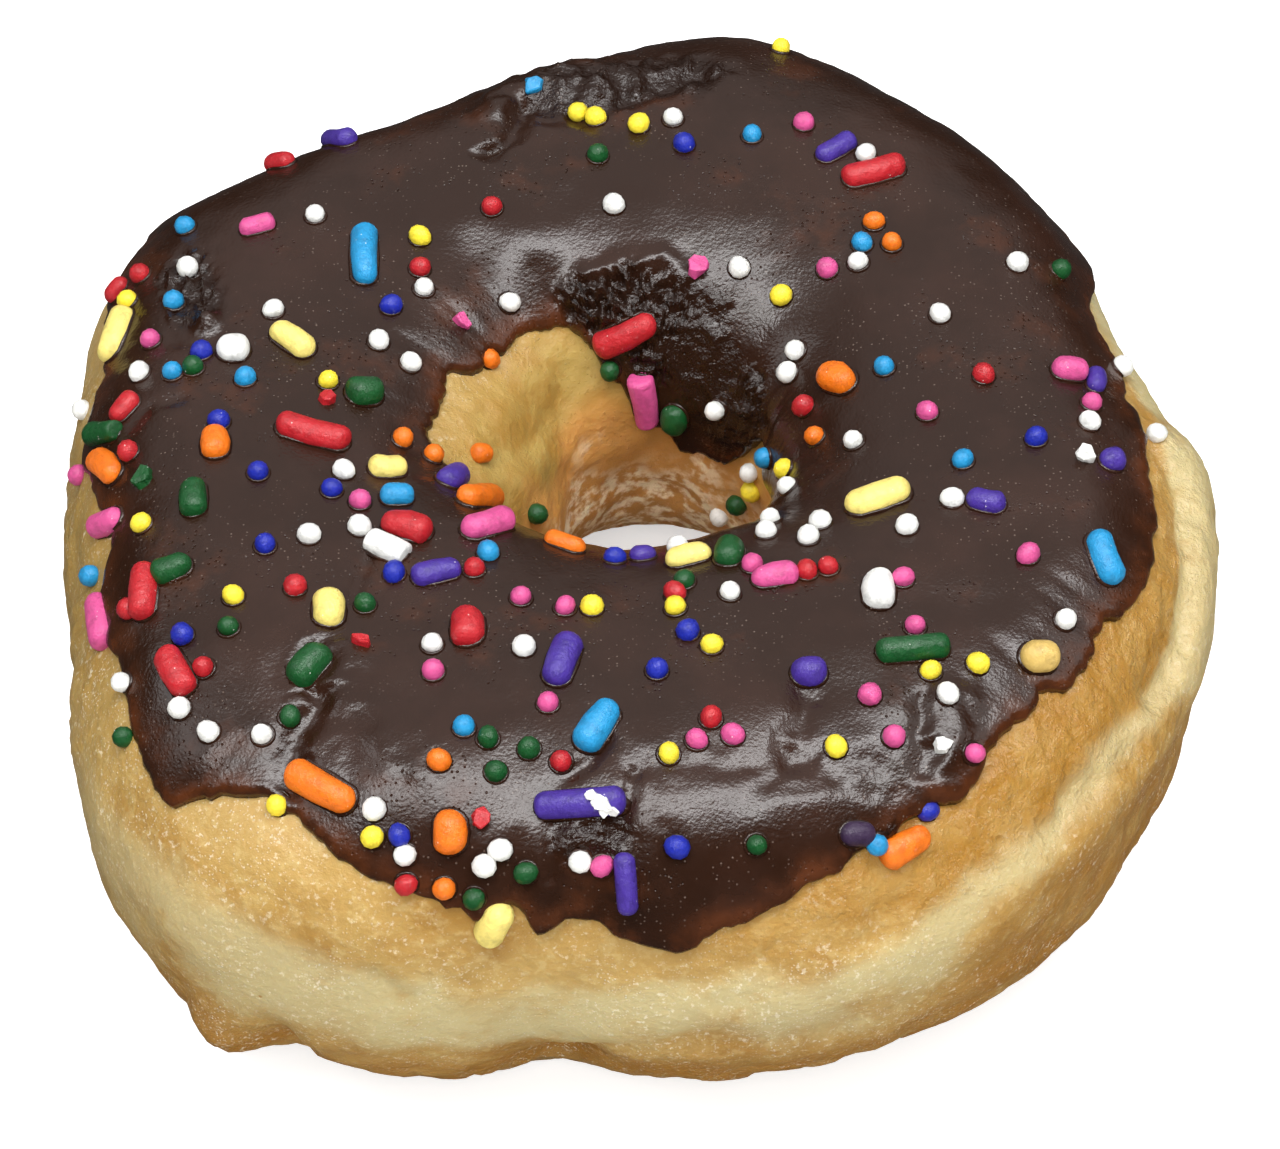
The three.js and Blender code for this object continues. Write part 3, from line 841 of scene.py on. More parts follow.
def new_group(name, inputs):
    """An empty shader group that reads a place and named values, and puts out a mask."""
    group = bpy.data.node_groups.new(name, "ShaderNodeTree")
    group.interface.new_socket(name="Place", in_out="INPUT", socket_type="NodeSocketVector")
    for label, value in inputs.items():
        socket = group.interface.new_socket(name=label, in_out="INPUT", socket_type="NodeSocketFloat")
        socket.default_value = value
    group.interface.new_socket(name="Mask", in_out="OUTPUT", socket_type="NodeSocketFloat")
    into = group.nodes.new("NodeGroupInput").outputs
    mask = group.nodes.new("NodeGroupOutput").inputs["Mask"]
    return group, into, mask


def mottle_group():
    """Soft patches of the given scale: a mask that is 1 in the patches."""
    group, into, mask = new_group("mottle", {"Scale": 100, "Low": 0.4, "High": 0.6, "Detail": 4})
    nodes, links = group.nodes, group.links
    pattern = nodes.new("ShaderNodeTexNoise")
    pattern.inputs["Roughness"].default_value = 0.6
    links.new(into["Place"], pattern.inputs["Vector"])
    links.new(into["Scale"], pattern.inputs["Scale"])
    links.new(into["Detail"], pattern.inputs["Detail"])
    mapped = nodes.new("ShaderNodeMapRange")
    mapped.interpolation_type = "SMOOTHSTEP"
    links.new(pattern.outputs["Fac"], mapped.inputs["Value"])
    links.new(into["Low"], mapped.inputs["From Min"])
    links.new(into["High"], mapped.inputs["From Max"])
    links.new(mapped.outputs["Result"], mask)
    return group


def speckle_group():
    """Scattered round dots: a mask that is 1 in each. Share is how many of the cells have one."""
    group, into, mask = new_group("speckle", {"Scale": 800, "Radius": 0.25, "Share": 0.3})
    nodes, links = group.nodes, group.links
    cells = nodes.new("ShaderNodeTexVoronoi")
    links.new(into["Place"], cells.inputs["Vector"])
    links.new(into["Scale"], cells.inputs["Scale"])
    dots = nodes.new("ShaderNodeMapRange")
    dots.interpolation_type = "SMOOTHSTEP"
    dots.inputs["From Max"].default_value = 0.05
    links.new(cells.outputs["Distance"], dots.inputs["Value"])
    links.new(into["Radius"], dots.inputs["From Min"])
    cell_colour = nodes.new("ShaderNodeSeparateColor")
    links.new(cells.outputs["Color"], cell_colour.inputs["Color"])
    chosen = nodes.new("ShaderNodeMath")
    chosen.operation = "LESS_THAN"
    links.new(cell_colour.outputs["Red"], chosen.inputs[0])
    links.new(into["Share"], chosen.inputs[1])
    both = nodes.new("ShaderNodeMath")
    both.operation = "MULTIPLY"
    links.new(dots.outputs["Result"], both.inputs[0])
    links.new(chosen.outputs["Value"], both.inputs[1])
    links.new(both.outputs["Value"], mask)
    return group


MOTTLE = mottle_group()
SPECKLE = speckle_group()


class Painter:
    """Puts together one material's nodes on the piece's own coordinates."""

    def __init__(self, name, colour):
        self.made, self.nodes, self.links, self.shader = new_material(name)
        self.place = self.nodes.new("ShaderNodeTexCoord").outputs["Object"]
        self.colour = self.nodes.new("ShaderNodeRGB").outputs["Color"]
        self.colour.default_value = (*colour, 1)

    def _group(self, group, values):
        node = self.nodes.new("ShaderNodeGroup")
        node.node_tree = group
        self.links.new(self.place, node.inputs["Place"])
        for label, value in values.items():
            node.inputs[label].default_value = value
        return node.outputs["Mask"]

    def mottle(self, size, low, high, detail=4):
        """Patches of a size in millimetres, from the noise value low, where they start, to high."""
        values = {"Scale": 1 / (size * MM), "Low": low, "High": high, "Detail": detail}
        return self._group(MOTTLE, values)

    def speckle(self, size, radius, share):
        """Dots in cells of a size in millimetres, which a share of the cells have."""
        return self._group(SPECKLE, {"Scale": 1 / (size * MM), "Radius": radius, "Share": share})

    def mask(self, name):
        """A value that the piece keeps for each point."""
        node = self.nodes.new("ShaderNodeAttribute")
        node.attribute_name = name
        return node.outputs["Fac"]

    def _math(self, operation, values):
        """Works through sockets and plain numbers from the first to the last."""
        total = values[0]
        for value in values[1:]:
            node = self.nodes.new("ShaderNodeMath")
            node.operation = operation
            for item, socket in zip((total, value), node.inputs):
                if isinstance(item, (int, float)):
                    socket.default_value = item
                else:
                    self.links.new(item, socket)
            total = node.outputs["Value"]
        return total

    def times(self, *values):
        return self._math("MULTIPLY", values)

    def plus(self, *values):
        return self._math("ADD", values)

    def from_to(self, low, high, mask):
        """A value that goes from low to high with a mask."""
        return self.plus(self.times(mask, high - low), low)

    def paint(self, colour, *masks):
        """Lays a colour over what is there, where its masks are all 1. A plain number weakens it."""
        mix = self.nodes.new("ShaderNodeMix")
        mix.data_type = "RGBA"
        self.links.new(self.times(*masks), mix.inputs["Factor"])
        self.links.new(self.colour, mix.inputs["A"])
        mix.inputs["B"].default_value = (*colour, 1)
        self.colour = mix.outputs["Result"]

    def finish(self, roughness, relief, depth):
        """Links colour, roughness and a relief whose full height is depth, in millimetres."""
        self.links.new(self.colour, self.shader.inputs["Base Color"])
        self.links.new(roughness, self.shader.inputs["Roughness"])
        bump = self.nodes.new("ShaderNodeBump")
        bump.inputs["Distance"].default_value = depth * MM
        bump.inputs["Strength"].default_value = BUMP_STRENGTH
        self.links.new(relief, bump.inputs["Height"])
        self.links.new(bump.outputs["Normal"], self.shader.inputs["Normal"])
        return self.made


BUMP_STRENGTH = 0.9

# The dough's colours
GOLDEN = (0.43, 0.278, 0.085)
DEEP_GOLD = (0.30, 0.145, 0.02)
LIGHT_GOLD = (0.56, 0.43, 0.19)
PALE_DOUGH = (0.475, 0.402, 0.207)
# Painted shade for the dough's left side
PAINTED_SHADE_GOLD = (0.29, 0.18, 0.042)
BROWNED = (0.30, 0.14, 0.02)
UNDER_TAN = (0.30, 0.20, 0.08)
HOLE_WALL = (0.33, 0.185, 0.036)
# HOLE_GLOW is painted light: a lighter band high on the hole's wall
HOLE_GLOW = (0.38, 0.255, 0.066)
# The hole's brown band and crust: their own colours, painted much lighter as the light that comes up
# through the hole
LIT_HOLE_BROWN = (0.56, 0.27, 0.07)
LIT_HOLE_CRUST = (0.92, 0.76, 0.52)
CRYSTAL = (0.85, 0.80, 0.66)
# Its patches: their size in millimetres, and the noise values where they start and are full
GOLD_CLOUDS = (9, 0.42, 0.66)
GLAZE_CLOUDS = (4, 0.35, 0.6)
SUGAR_FILM = (1.1, 0.5, 0.66)
PALE_CLOUDS = (4, 0.14, 0.5)
PAINTED_SHADE_CLOUDS = (6, 0, 0.6)
BROWN_CLOUDS = (5, 0.1, 0.6)
GLOW_CLOUDS = (3, 0.35, 0.62)
CRUST_STREAKS = (1.3, 0.42, 0.62)
FINE_SUGAR = (0.45, 0.56, 0.68)
FINE_SUGAR_CLOUDS = (5, 0.38, 0.6)
CRYSTAL_CLOUDS = (6, 0.36, 0.62)
DULL_CLOUDS = (3, 0.3, 0.7)
FINE_GRAIN = (0.7, 0.2, 0.8)
COARSE_GRAIN = (2.2, 0.2, 0.8)
BLISTERS = (1.5, 0.4, 0.62)
# Its dots: the size of a cell in millimetres, their radius, and the share of the cells with one
CRYSTALS = (0.27, 0.4, 0.5)
BROWN_SPOTS = (1.8, 0.12, 0.05)
# Light that shines through it: how much, how far each colour goes, and in what unit
THROUGH_DOUGH = 0.25
THROUGH_REACH = (1.0, 0.55, 0.25)
THROUGH_UNIT = 1.2 * MM
SKIN_DEPTH = 0.12


def fried_dough_material():
    skin = Painter("fried_dough", GOLDEN)
    glazed = skin.mask("glazed")
    sugared = skin.mask("sugared")
    skin.paint(DEEP_GOLD, skin.mottle(*GOLD_CLOUDS), 0.75)
    skin.paint(DEEP_GOLD, glazed, skin.from_to(0.65, 1.05, skin.mottle(*GLAZE_CLOUDS)))
    skin.paint(LIGHT_GOLD, skin.mottle(*SUGAR_FILM), sugared, 0.45)
    skin.paint(PALE_DOUGH, skin.mask("pale"), skin.mottle(*PALE_CLOUDS))
    # Painted shade: a darker gold laid over the left side in patches
    skin.paint(PAINTED_SHADE_GOLD, skin.mask("painted_shade_left"), skin.mottle(*PAINTED_SHADE_CLOUDS))
    skin.paint(BROWNED, skin.mask("crust"), skin.mottle(*BROWN_CLOUDS))
    skin.paint(UNDER_TAN, skin.mask("underside"), 0.8)
    skin.paint(HOLE_WALL, skin.mask("hole_wall"))
    # Painted light: a lighter band high on the hole's wall
    skin.paint(HOLE_GLOW, skin.mask("hole_glow"), skin.mottle(*GLOW_CLOUDS))
    # The brown band and crust in the hole, painted lighter with the light that comes up through it
    skin.paint(LIT_HOLE_BROWN, skin.mask("lit_hole_brown"), 0.95)
    skin.paint(LIT_HOLE_CRUST, skin.mask("lit_hole_crust"), skin.mottle(*CRUST_STREAKS))
    skin.paint(CRYSTAL, skin.mottle(*FINE_SUGAR), skin.mottle(*FINE_SUGAR_CLOUDS), sugared, 0.4)
    crystals = skin.times(skin.speckle(*CRYSTALS), skin.mottle(*CRYSTAL_CLOUDS))
    skin.paint(CRYSTAL, crystals, sugared, 0.5)
    skin.paint(BROWNED, skin.speckle(*BROWN_SPOTS), 0.8)
    dullness = skin.from_to(0.42, 0.62, skin.mottle(*DULL_CLOUDS))
    roughness = skin.plus(dullness, skin.times(glazed, -0.14))
    # Each kind of roughness has its share of the relief
    relief = skin.plus(
        skin.times(skin.mottle(*FINE_GRAIN), 0.6),
        skin.times(crystals, 0.5),
        skin.times(skin.mottle(*COARSE_GRAIN), 0.8),
        skin.times(glazed, skin.mottle(*BLISTERS)),
    )
    skin.shader.inputs["Subsurface Weight"].default_value = THROUGH_DOUGH
    skin.shader.inputs["Subsurface Radius"].default_value = THROUGH_REACH
    skin.shader.inputs["Subsurface Scale"].default_value = THROUGH_UNIT
    return skin.finish(roughness, relief, SKIN_DEPTH)


# The icing's colours, patches and dots, as for the dough
CHOCOLATE = (0.0175, 0.0062, 0.0028)
MILKY_CHOCOLATE = (0.026, 0.01, 0.0056)
THIN_CHOCOLATE = (0.074, 0.0195, 0.005)
DEEP_CHOCOLATE = (0.013, 0.0048, 0.0024)
DUST = (0.22, 0.17, 0.14)
MILKY_CLOUDS = (10, 0.4, 0.7)
THIN_CLOUDS = (7, 0.56, 0.72)
EDGE_CLOUDS = (3.5, 0.3, 0.7)
DUST_DOTS = (0.3, 0.36, 0.16)
DUST_CLOUDS = (9, 0.4, 0.62)
PITS = (0.42, 0.3, 0.5)
PIT_CLOUDS = (7, 0.48, 0.62)
MATT_CLOUDS = (7, 0.35, 0.7)
TORN_GRAIN = (1.0, 0.25, 0.75)
# These also have the detail of their noise
COAT_GRAIN = (0.3, 0.2, 0.8, 1)
COAT_WAVES = (6, 0.2, 0.8, 0.5)
COAT_DEPTH = 0.12
COAT_IOR = 1.46


def chocolate_material():
    coat = Painter("chocolate_icing", CHOCOLATE)
    torn = coat.mask("torn")
    coat.paint(MILKY_CHOCOLATE, coat.mottle(*MILKY_CLOUDS))
    coat.paint(THIN_CHOCOLATE, coat.mottle(*THIN_CLOUDS), 0.35)
    coat.paint(THIN_CHOCOLATE, coat.mask("thin_edge"), coat.mottle(*EDGE_CLOUDS))
    coat.paint(DEEP_CHOCOLATE, torn, 0.9)
    coat.paint(DUST, coat.speckle(*DUST_DOTS), coat.mottle(*DUST_CLOUDS), 0.5)
    mattness = coat.from_to(0.22, 0.30, coat.mottle(*MATT_CLOUDS))
    roughness = coat.plus(mattness, coat.times(torn, -0.1))
    # The pits are cut in, and the rest stands out
    relief = coat.plus(
        coat.times(coat.speckle(*PITS), coat.mottle(*PIT_CLOUDS), -1),
        coat.times(coat.mottle(*COAT_GRAIN), 0.15),
        coat.times(coat.mottle(*COAT_WAVES), 1.3),
        coat.times(torn, coat.mottle(*TORN_GRAIN), 1.2),
    )
    coat.shader.inputs["IOR"].default_value = COAT_IOR
    return coat.finish(roughness, relief, COAT_DEPTH)


# The sugar's patches and dots
DEEP_PATCHES = (0.9, 0.45, 0.7)
WORN_PATCHES = (0.5, 0.6, 0.78)
SUGAR_DUST = (0.4, 0.2, 0.06)
SUGAR_DUST_COLOUR = (0.9, 0.88, 0.84)
SHINE_PATCHES = (0.8, 0.3, 0.7)
SHELL_BUMPS = (0.7, 0.2, 0.8)
SHELL_GRAIN = (0.25, 0.2, 0.8)
SHELL_DEPTH = 0.07


def sugar_material(name):
    colour = SUGAR[name]
    deep = tuple(0.6 * value for value in colour)
    worn = tuple(0.7 * value + 0.2 for value in colour)
    shell = Painter("sugar_" + name, colour)
    shell.paint(deep, shell.mottle(*DEEP_PATCHES), 0.6)
    shell.paint(worn, shell.mottle(*WORN_PATCHES), 0.3)
    shell.paint(SUGAR_DUST_COLOUR, shell.speckle(*SUGAR_DUST), 0.6)
    roughness = shell.from_to(0.36, 0.54, shell.mottle(*SHINE_PATCHES))
    relief = shell.plus(shell.mottle(*SHELL_BUMPS), shell.times(shell.mottle(*SHELL_GRAIN), 0.3))
    return shell.finish(roughness, relief, SHELL_DEPTH)


dough = shape_dough()
dough.data.materials.append(fried_dough_material())
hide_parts("dough")
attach(dough, "root")

icing = shape_icing()
icing.data.materials.append(chocolate_material())
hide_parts("chocolate_icing")
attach(icing, "root")


# Sprinkles
DRAW = random.Random(SPRINKLE_SEED)  # every random choice comes from this one
COLOURS_TO_DRAW = ["red", "green", "orange", "purple", "yellow", "blue", "pink", "white"]

# How pearls differ from a ball: how egg-like they are at most, and their length, width and size
PEARL_EGG = 0.12
PEARL_LENGTHS = (0.96, 1.14)
PEARL_WIDTHS = (0.92, 1.02)
PEARL_SIZES = (0.94, 1.08)
# The strands' sizes in millimetres
STRAND_RADII = (0.85, 1.32)
WIDTH_SHARE = 0.95  # of the width read from the photograph, which takes in a dark outline
LONGEST_STRAND = 7
SHORTEST_STRETCH = 0.05
HIDDEN_RADII = (1.1, 1.25)
HIDDEN_LENGTHS = (3.5, 6)
# How strands differ from a rod: how bent and how tapered, how flat, and how round their ends are,
# where 1 is a ball's end and less is squarer
STRAND_BEND = 0.5
BEND_HEIGHT = 0.12
STRAND_TAPER = 0.13
STRAND_FLATNESS = (0.88, 1)
STRAND_BLUNTNESS = (0.82, 1.05)
CUT_BLUNTNESS = 0.35
STRAND_DENTS = 0.13
SPRINKLE_REACH = 1.2 * MM  # the patch of icing whose slope a strand takes
# The chips: their sides, thickness and bevel at one unit of radius, their lift in millimetres, and
# how long, wide and dented they are
CHIP_SIDES = 7
CHIP_DEPTH = 0.9
CHIP_BEVEL = 0.14
CHIP_LIFT = 0.2
CHIP_LENGTHS = (0.75, 1)
CHIP_WIDTHS = (0.5, 0.8)
CHIP_DENTS = 0.7
# A rim's length and width beside its sprinkle's
PEARL_RIM = 0.98
STRAND_RIM_LENGTH = 0.98
STRAND_RIM_WIDTH = 0.97
# How far apart hidden sprinkles lie, and between which shares of the way from edge to edge
STRAND_SPACING = 7 * MM
PEARL_SPACING = 3.5 * MM
HIDDEN_SHARES = (0.06, 0.8)
HIDDEN_TRIES = 4000
NOISE_REACH = 50  # each sprinkle's dents are taken from another place within this reach
NEAR_MIDDLE = 0.01  # points nearer to a model's middle plane or axis count as on it


def pearl_model():
    deselect_all()
    bpy.ops.mesh.primitive_ico_sphere_add(subdivisions=2, radius=PEARL_RADIUS * MM)
    bpy.ops.object.shade_smooth()
    return bpy.context.active_object


def strand_model():
    """A ball one unit in radius with its poles along X, to be drawn out into a rod."""
    deselect_all()
    bpy.ops.mesh.primitive_uv_sphere_add(
        segments=16, ring_count=12, radius=1, rotation=(0, math.radians(90), 0)
    )
    bpy.ops.object.transform_apply(location=False, rotation=True, scale=False)
    bpy.ops.object.shade_smooth()
    return bpy.context.active_object


def chip_model():
    deselect_all()
    bpy.ops.mesh.primitive_cylinder_add(vertices=CHIP_SIDES, radius=1, depth=CHIP_DEPTH)
    model = bpy.context.active_object
    bpy.ops.object.mode_set(mode="EDIT")
    bpy.ops.mesh.bevel(offset=CHIP_BEVEL, segments=2, affect="EDGES")
    bpy.ops.object.mode_set(mode="OBJECT")
    return model


def bead_model():
    """The rim of icing that rises round a sprinkle pressed into it, one unit in radius."""
    deselect_all()
    bpy.ops.mesh.primitive_torus_add(
        major_segments=16, minor_segments=5, major_radius=1, minor_radius=BEAD_THICKNESS
    )
    bpy.ops.object.shade_smooth()
    return bpy.context.active_object


def copy_of(model, name, material):
    copy = bpy.data.objects.new(name, model.data.copy())
    bpy.context.scene.collection.objects.link(copy)
    copy.data.materials.clear()
    copy.data.materials.append(material)
    return copy


def drawn_vector(reach, rise=None):
    """A random direction or place, with its own reach upwards if rise is given."""
    rise = reach if rise is None else rise
    return Vector((DRAW.uniform(-reach, reach), DRAW.uniform(-reach, reach), DRAW.uniform(-rise, rise)))


def stands_on(place, facing, heading):
    """The turn and place of a piece that lies on a surface with its X axis along the heading."""
    along = (heading - facing * heading.dot(facing)).normalized()
    side = facing.cross(along)
    turned = Matrix((along, side, facing)).transposed()
    return Matrix.Translation(place) @ turned.to_4x4()


def seat_pixel(pixel, lift):
    """The middle of a piece that lies on the surface and shows at a pixel, and the surface's normal."""
    rounds, correction, step_inwards = 4, 0.8, 1.5
    aim = Vector(pixel)
    for _ in range(rounds):
        place, facing, _, _ = surface.ray_cast(EYE, ray_through(aim))
        while place is None:
            aim = aim + (Vector(AIM_PIXEL) - aim).normalized() * step_inwards
            place, facing, _, _ = surface.ray_cast(EYE, ray_through(aim))
        middle = place + facing * lift
        aim = aim + (Vector(pixel) - Vector(pixel_of(middle))) * correction
    return middle, facing


def smooth_facing(place, facing):
    """The surface's normal, averaged over the patch that a sprinkle covers."""
    reach = SPRINKLE_REACH
    total = facing.copy()
    for step in ((reach, 0, 0), (-reach, 0, 0), (0, reach, 0), (0, -reach, 0), (0, 0, reach)):
        total += surface.find_nearest(place + Vector(step))[1]
    return total.normalized()


def shape_pearl(pearl):
    """No two pearls are equally round, and some are a little like an egg."""
    egg = DRAW.uniform(-PEARL_EGG, PEARL_EGG)
    long, wide = DRAW.uniform(*PEARL_LENGTHS), DRAW.uniform(*PEARL_WIDTHS)
    size = DRAW.uniform(*PEARL_SIZES)
    for point in pearl.data.vertices:
        x, y, z = point.co
        narrow = 1 + egg * x / (PEARL_RADIUS * MM)
        point.co = (x * long * size, y * wide * narrow * size, z * narrow * size)


def side_of(x):
    """Which half of a model a point is in: 1, -1, or 0 between them."""
    return (x > NEAR_MIDDLE) - (x < -NEAR_MIDDLE)


def shape_strand(strand, length, radius, cut):
    """Its two halves are drawn apart to its length, and it's bent, tapered and dented."""
    stretch = max(length / 2 - radius, SHORTEST_STRETCH * MM)
    bend = DRAW.uniform(-STRAND_BEND, STRAND_BEND)
    taper = DRAW.uniform(-STRAND_TAPER, STRAND_TAPER)
    flat = DRAW.uniform(*STRAND_FLATNESS)
    blunt = CUT_BLUNTNESS if cut else DRAW.uniform(*STRAND_BLUNTNESS)
    dents = drawn_vector(NOISE_REACH)
    dent_scale, lengthwise, bend_level = 0.8, 1.4, 0.33
    for point in strand.data.vertices:
        out = math.hypot(point.co.y, point.co.z)
        fuller = out**blunt / out if out > NEAR_MIDDLE else 1
        x = side_of(point.co.x) * (abs(point.co.x) ** blunt * radius + stretch)
        along = 2 * x / length
        place = Vector((lengthwise * x / radius, point.co.y, point.co.z))
        dented = STRAND_DENTS * noise.noise(dent_scale * place + dents)
        girth = radius * (1 + taper * along + dented) * fuller
        point.co = (x, point.co.y * girth, point.co.z * girth * flat)
        point.co.y += bend * (along * along - bend_level) * BEND_HEIGHT * length


def shape_chip(chip, size):
    """A broken piece of sugar, of any outline."""
    long, wide = DRAW.uniform(*CHIP_LENGTHS), DRAW.uniform(*CHIP_WIDTHS)
    dents = drawn_vector(NOISE_REACH)
    dent_scale = 0.9
    for point in chip.data.vertices:
        uneven = 1 + CHIP_DENTS * noise.noise(dent_scale * point.co + dents)
        point.co = Vector((point.co.x * long, point.co.y * wide, point.co.z)) * uneven * size * MM


def shape_bead(bead, length, width):
    """Draws a round rim apart to a sprinkle's length."""
    stretch = max(length - width, 0) / 2
    for point in bead.data.vertices:
        side = side_of(point.co.x)
        point.co *= width / 2
        point.co.x += side * stretch


def lay_on_icing(bead, foot, facing):
    """Lets a rim follow the icing's surface."""
    for point in bead.data.vertices:
        above = (point.co - foot).dot(facing)
        ground = surface.find_nearest(point.co - facing * above)[0]
        point.co = ground + facing * above


def image_heading(angle, facing, ray):
    """The direction on the surface that shows at an angle in the image, as long as one unit there."""
    seen = RIGHT * math.cos(math.radians(angle)) + UP * math.sin(math.radians(angle))
    flattest = -0.3  # a surface seen nearly edge on would stretch it without end
    steep = min(ray.dot(facing), flattest)
    return seen - ray * (seen.dot(facing) / steep)


def joined(pieces, name):
    choose(*pieces)
    bpy.ops.object.join()
    whole = bpy.context.active_object
    whole.name = name
    whole.data.name = name
    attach(whole, "root")
    return whole


def is_hidden(place, facing):
    """Whether a sprinkle at a place would be wholly out of the photograph's sight."""
    reach = 3 * MM
    top = place + facing * reach + UP * reach / 2
    hit = surface.ray_cast(EYE, (top - EYE).normalized())[0]
    return hit is not None and (hit - EYE).length < (top - EYE).length - reach


class Topping:
    """The sprinkles on the icing, as they are laid one by one."""

    def __init__(self):
        self.pearls = []
        self.strands = []
        self.chips = []
        self.beads = []
        self.taken = []
        self.models = [pearl_model(), strand_model(), chip_model(), bead_model()]
        self.pearl_model, self.strand_model, self.chip_model, self.bead_model = self.models

    def add_rim(self, middle, facing, heading, length, width):
        """Raises the icing round a sprinkle, where it lies on icing and not on dough."""
        foot, _, face, _ = surface.find_nearest(middle)
        if face < len(dough.data.polygons):
            return
        bead = copy_of(self.bead_model, "icing_bead", icing.data.materials[0])
        shape_bead(bead, length, width)
        bead.data.transform(stands_on(foot, facing, heading))
        lay_on_icing(bead, foot, facing)
        self.beads.append(bead)

    def add_pearl(self, colour, middle, facing):
        pearl = copy_of(self.pearl_model, f"pearl_{len(self.pearls)}", sugars[colour])
        shape_pearl(pearl)
        pearl.data.transform(stands_on(middle, facing, drawn_vector(1)))
        self.pearls.append(pearl)
        width = 2 * PEARL_RIM * PEARL_RADIUS * MM
        self.add_rim(middle, facing, RIGHT, width, width)

    def add_strand(self, colour, middle, facing, heading, length, radius, cut=False):
        strand = copy_of(self.strand_model, f"strand_{len(self.strands)}", sugars[colour])
        shape_strand(strand, length, radius, cut)
        strand.data.transform(stands_on(middle, facing, heading))
        self.strands.append(strand)
        rim_length = STRAND_RIM_LENGTH * length
        self.add_rim(middle, facing, heading, rim_length, 2 * STRAND_RIM_WIDTH * radius)

    def add_chip(self, colour, middle, facing, size):
        chip = copy_of(self.chip_model, f"chip_{len(self.chips)}", sugars[colour])
        heading = drawn_vector(1)
        shape_chip(chip, size)
        chip.data.transform(stands_on(middle, facing, heading))
        self.chips.append(chip)

    def add_shown(self):
        """Lays the sprinkles that the photograph shows, each where its pixel is."""
        for colour, pixels in PEARLS.items():
            for pixel in pixels:
                middle, facing = seat_pixel(pixel, PEARL_LIFT * PEARL_RADIUS * MM)
                self.taken.append(middle)
                self.add_pearl(colour, middle, facing)
        for colour, pixel, long, wide, angle in STRANDS:
            narrowest, widest = STRAND_RADII
            radius = min(max(WIDTH_SHARE * wide / 2 / PIXELS_PER_MM, narrowest), widest) * MM
            middle, facing = seat_pixel(pixel, STRAND_LIFT * radius)
            facing = smooth_facing(middle, facing)
            heading = image_heading(angle, facing, ray_through(pixel))
            between_ends = max(long - wide, 0) * heading.length
            length = min((between_ends + wide) / PIXELS_PER_MM, LONGEST_STRAND) * MM
            self.taken.append(middle)
            self.add_strand(colour, middle, facing, heading, length, radius, pixel in CUT_STRANDS)
        for colour, pixel in CHIPS:
            self.add_chip(colour, *seat_pixel(pixel, CHIP_LIFT * MM), size=1)
        strands_seen = tree_of(*self.strands)
        for pixel in CRUMBS:
            place, facing, _, _ = strands_seen.ray_cast(EYE, ray_through(pixel))
            if place is not None:
                self.add_chip("white", place, facing, CRUMB_RADIUS)

    def hidden_places(self, count, spacing):
        """Places on the icing that the photograph doesn't show, spaced out by the seeded draw."""
        found = []
        for _ in range(HIDDEN_TRIES):
            if len(found) == count:
                break
            bearing = DRAW.uniform(0, 360)
            share = DRAW.uniform(*HIDDEN_SHARES)
            section = outer_edge(bearing) + (inner_edge(bearing) - outer_edge(bearing)) * share
            over_icing = Vector(dough_normal(bearing, section)) * 2 * MM
            point = Vector(placed(dough_point(bearing, section))) + over_icing
            place, facing, _, _ = surface.find_nearest(point)
            free = all((place - other).length > spacing for other in self.taken)
            if free and is_hidden(place, facing):
                found.append((place, facing))
                self.taken.append(place)
        return found

    def add_hidden(self):
        """Spreads more over the part of the icing that the photograph doesn't show."""
        for place, facing in self.hidden_places(HIDDEN_STRANDS, STRAND_SPACING):
            colour = DRAW.choice(COLOURS_TO_DRAW)
            radius = DRAW.uniform(*HIDDEN_RADII) * MM
            heading = drawn_vector(1, 0.3)
            middle = place + facing * STRAND_LIFT * radius
            length = DRAW.uniform(*HIDDEN_LENGTHS) * MM
            self.add_strand(colour, middle, facing, heading, length, radius)
        pearl_colours = sorted(PEARLS)
        for place, facing in self.hidden_places(HIDDEN_PEARLS, PEARL_SPACING):
            middle = place + facing * PEARL_LIFT * PEARL_RADIUS * MM
            self.add_pearl(DRAW.choice(pearl_colours), middle, facing)

    def finish(self):
        """Joins what was laid into one piece for each kind."""
        for model in self.models:
            bpy.data.objects.remove(model)
        joined(self.pearls, "sugar_pearls")
        joined(self.strands, "sugar_strands")
        joined(self.chips, "sugar_chips")
        joined(self.beads, "icing_beads")


sugars = {colour: sugar_material(colour) for colour in SUGAR}
surface = tree_of(dough, icing)
topping = Topping()
topping.add_shown()
topping.add_hidden()
topping.finish()


# The studio
FLOOR_SIZE = 4
FLOOR_WHITE = (0.78, 0.78, 0.78, 1)
FLOOR_GLOW = 0.55
FLOOR_ROUGHNESS = 0.9
DIM_FLOOR = (0.56, 0.54, 0.50, 1)  # what the floor throws back at the food
DARK_FLOOR = (0.03, 0.03, 0.03, 1)  # what shows of it in gloss
WORLD_SEEN = 0.85
WORLD_FILL = 0.26
WORLD_IN_GLOSS = 0.74
WORLD_IN_GLOSS_AWAY = 0.01
BRIGHT_SIDE = (0, 0.5, 0.866)  # the way to the part of the room that shows in gloss
BRIGHT_EDGE = 0.5  # the cosine of the angle at which it ends
LIGHT_AIM = (0, 0, 0.02)
# Soft lights: name, place and size in metres, watts, and whether they show in gloss
LIGHTS = [
    ("softbox_core", (0.02, -0.07, 0.8), (1.0, 0.13), 4.4, True),
    ("softbox_rim", (0.02, -0.06, 0.83), (1.15, 0.4), 4.6, True),
    ("top_fill", (0, 0, 0.95), (0.8, 0.8), 1.5, False),
    ("right_side", (0.62, 0.05, 0.5), (0.3, 0.3), 0.45, True),
    ("left_side", (-0.6, 0.1, 0.5), (0.3, 0.3), 0.7, True),
    ("front_fill", (0, -0.75, 0.92), (0.8, 0.5), 5.2, False),
    ("low_fill", (0.3, -1.05, 0.35), (0.9, 0.5), 5.5, False),
]


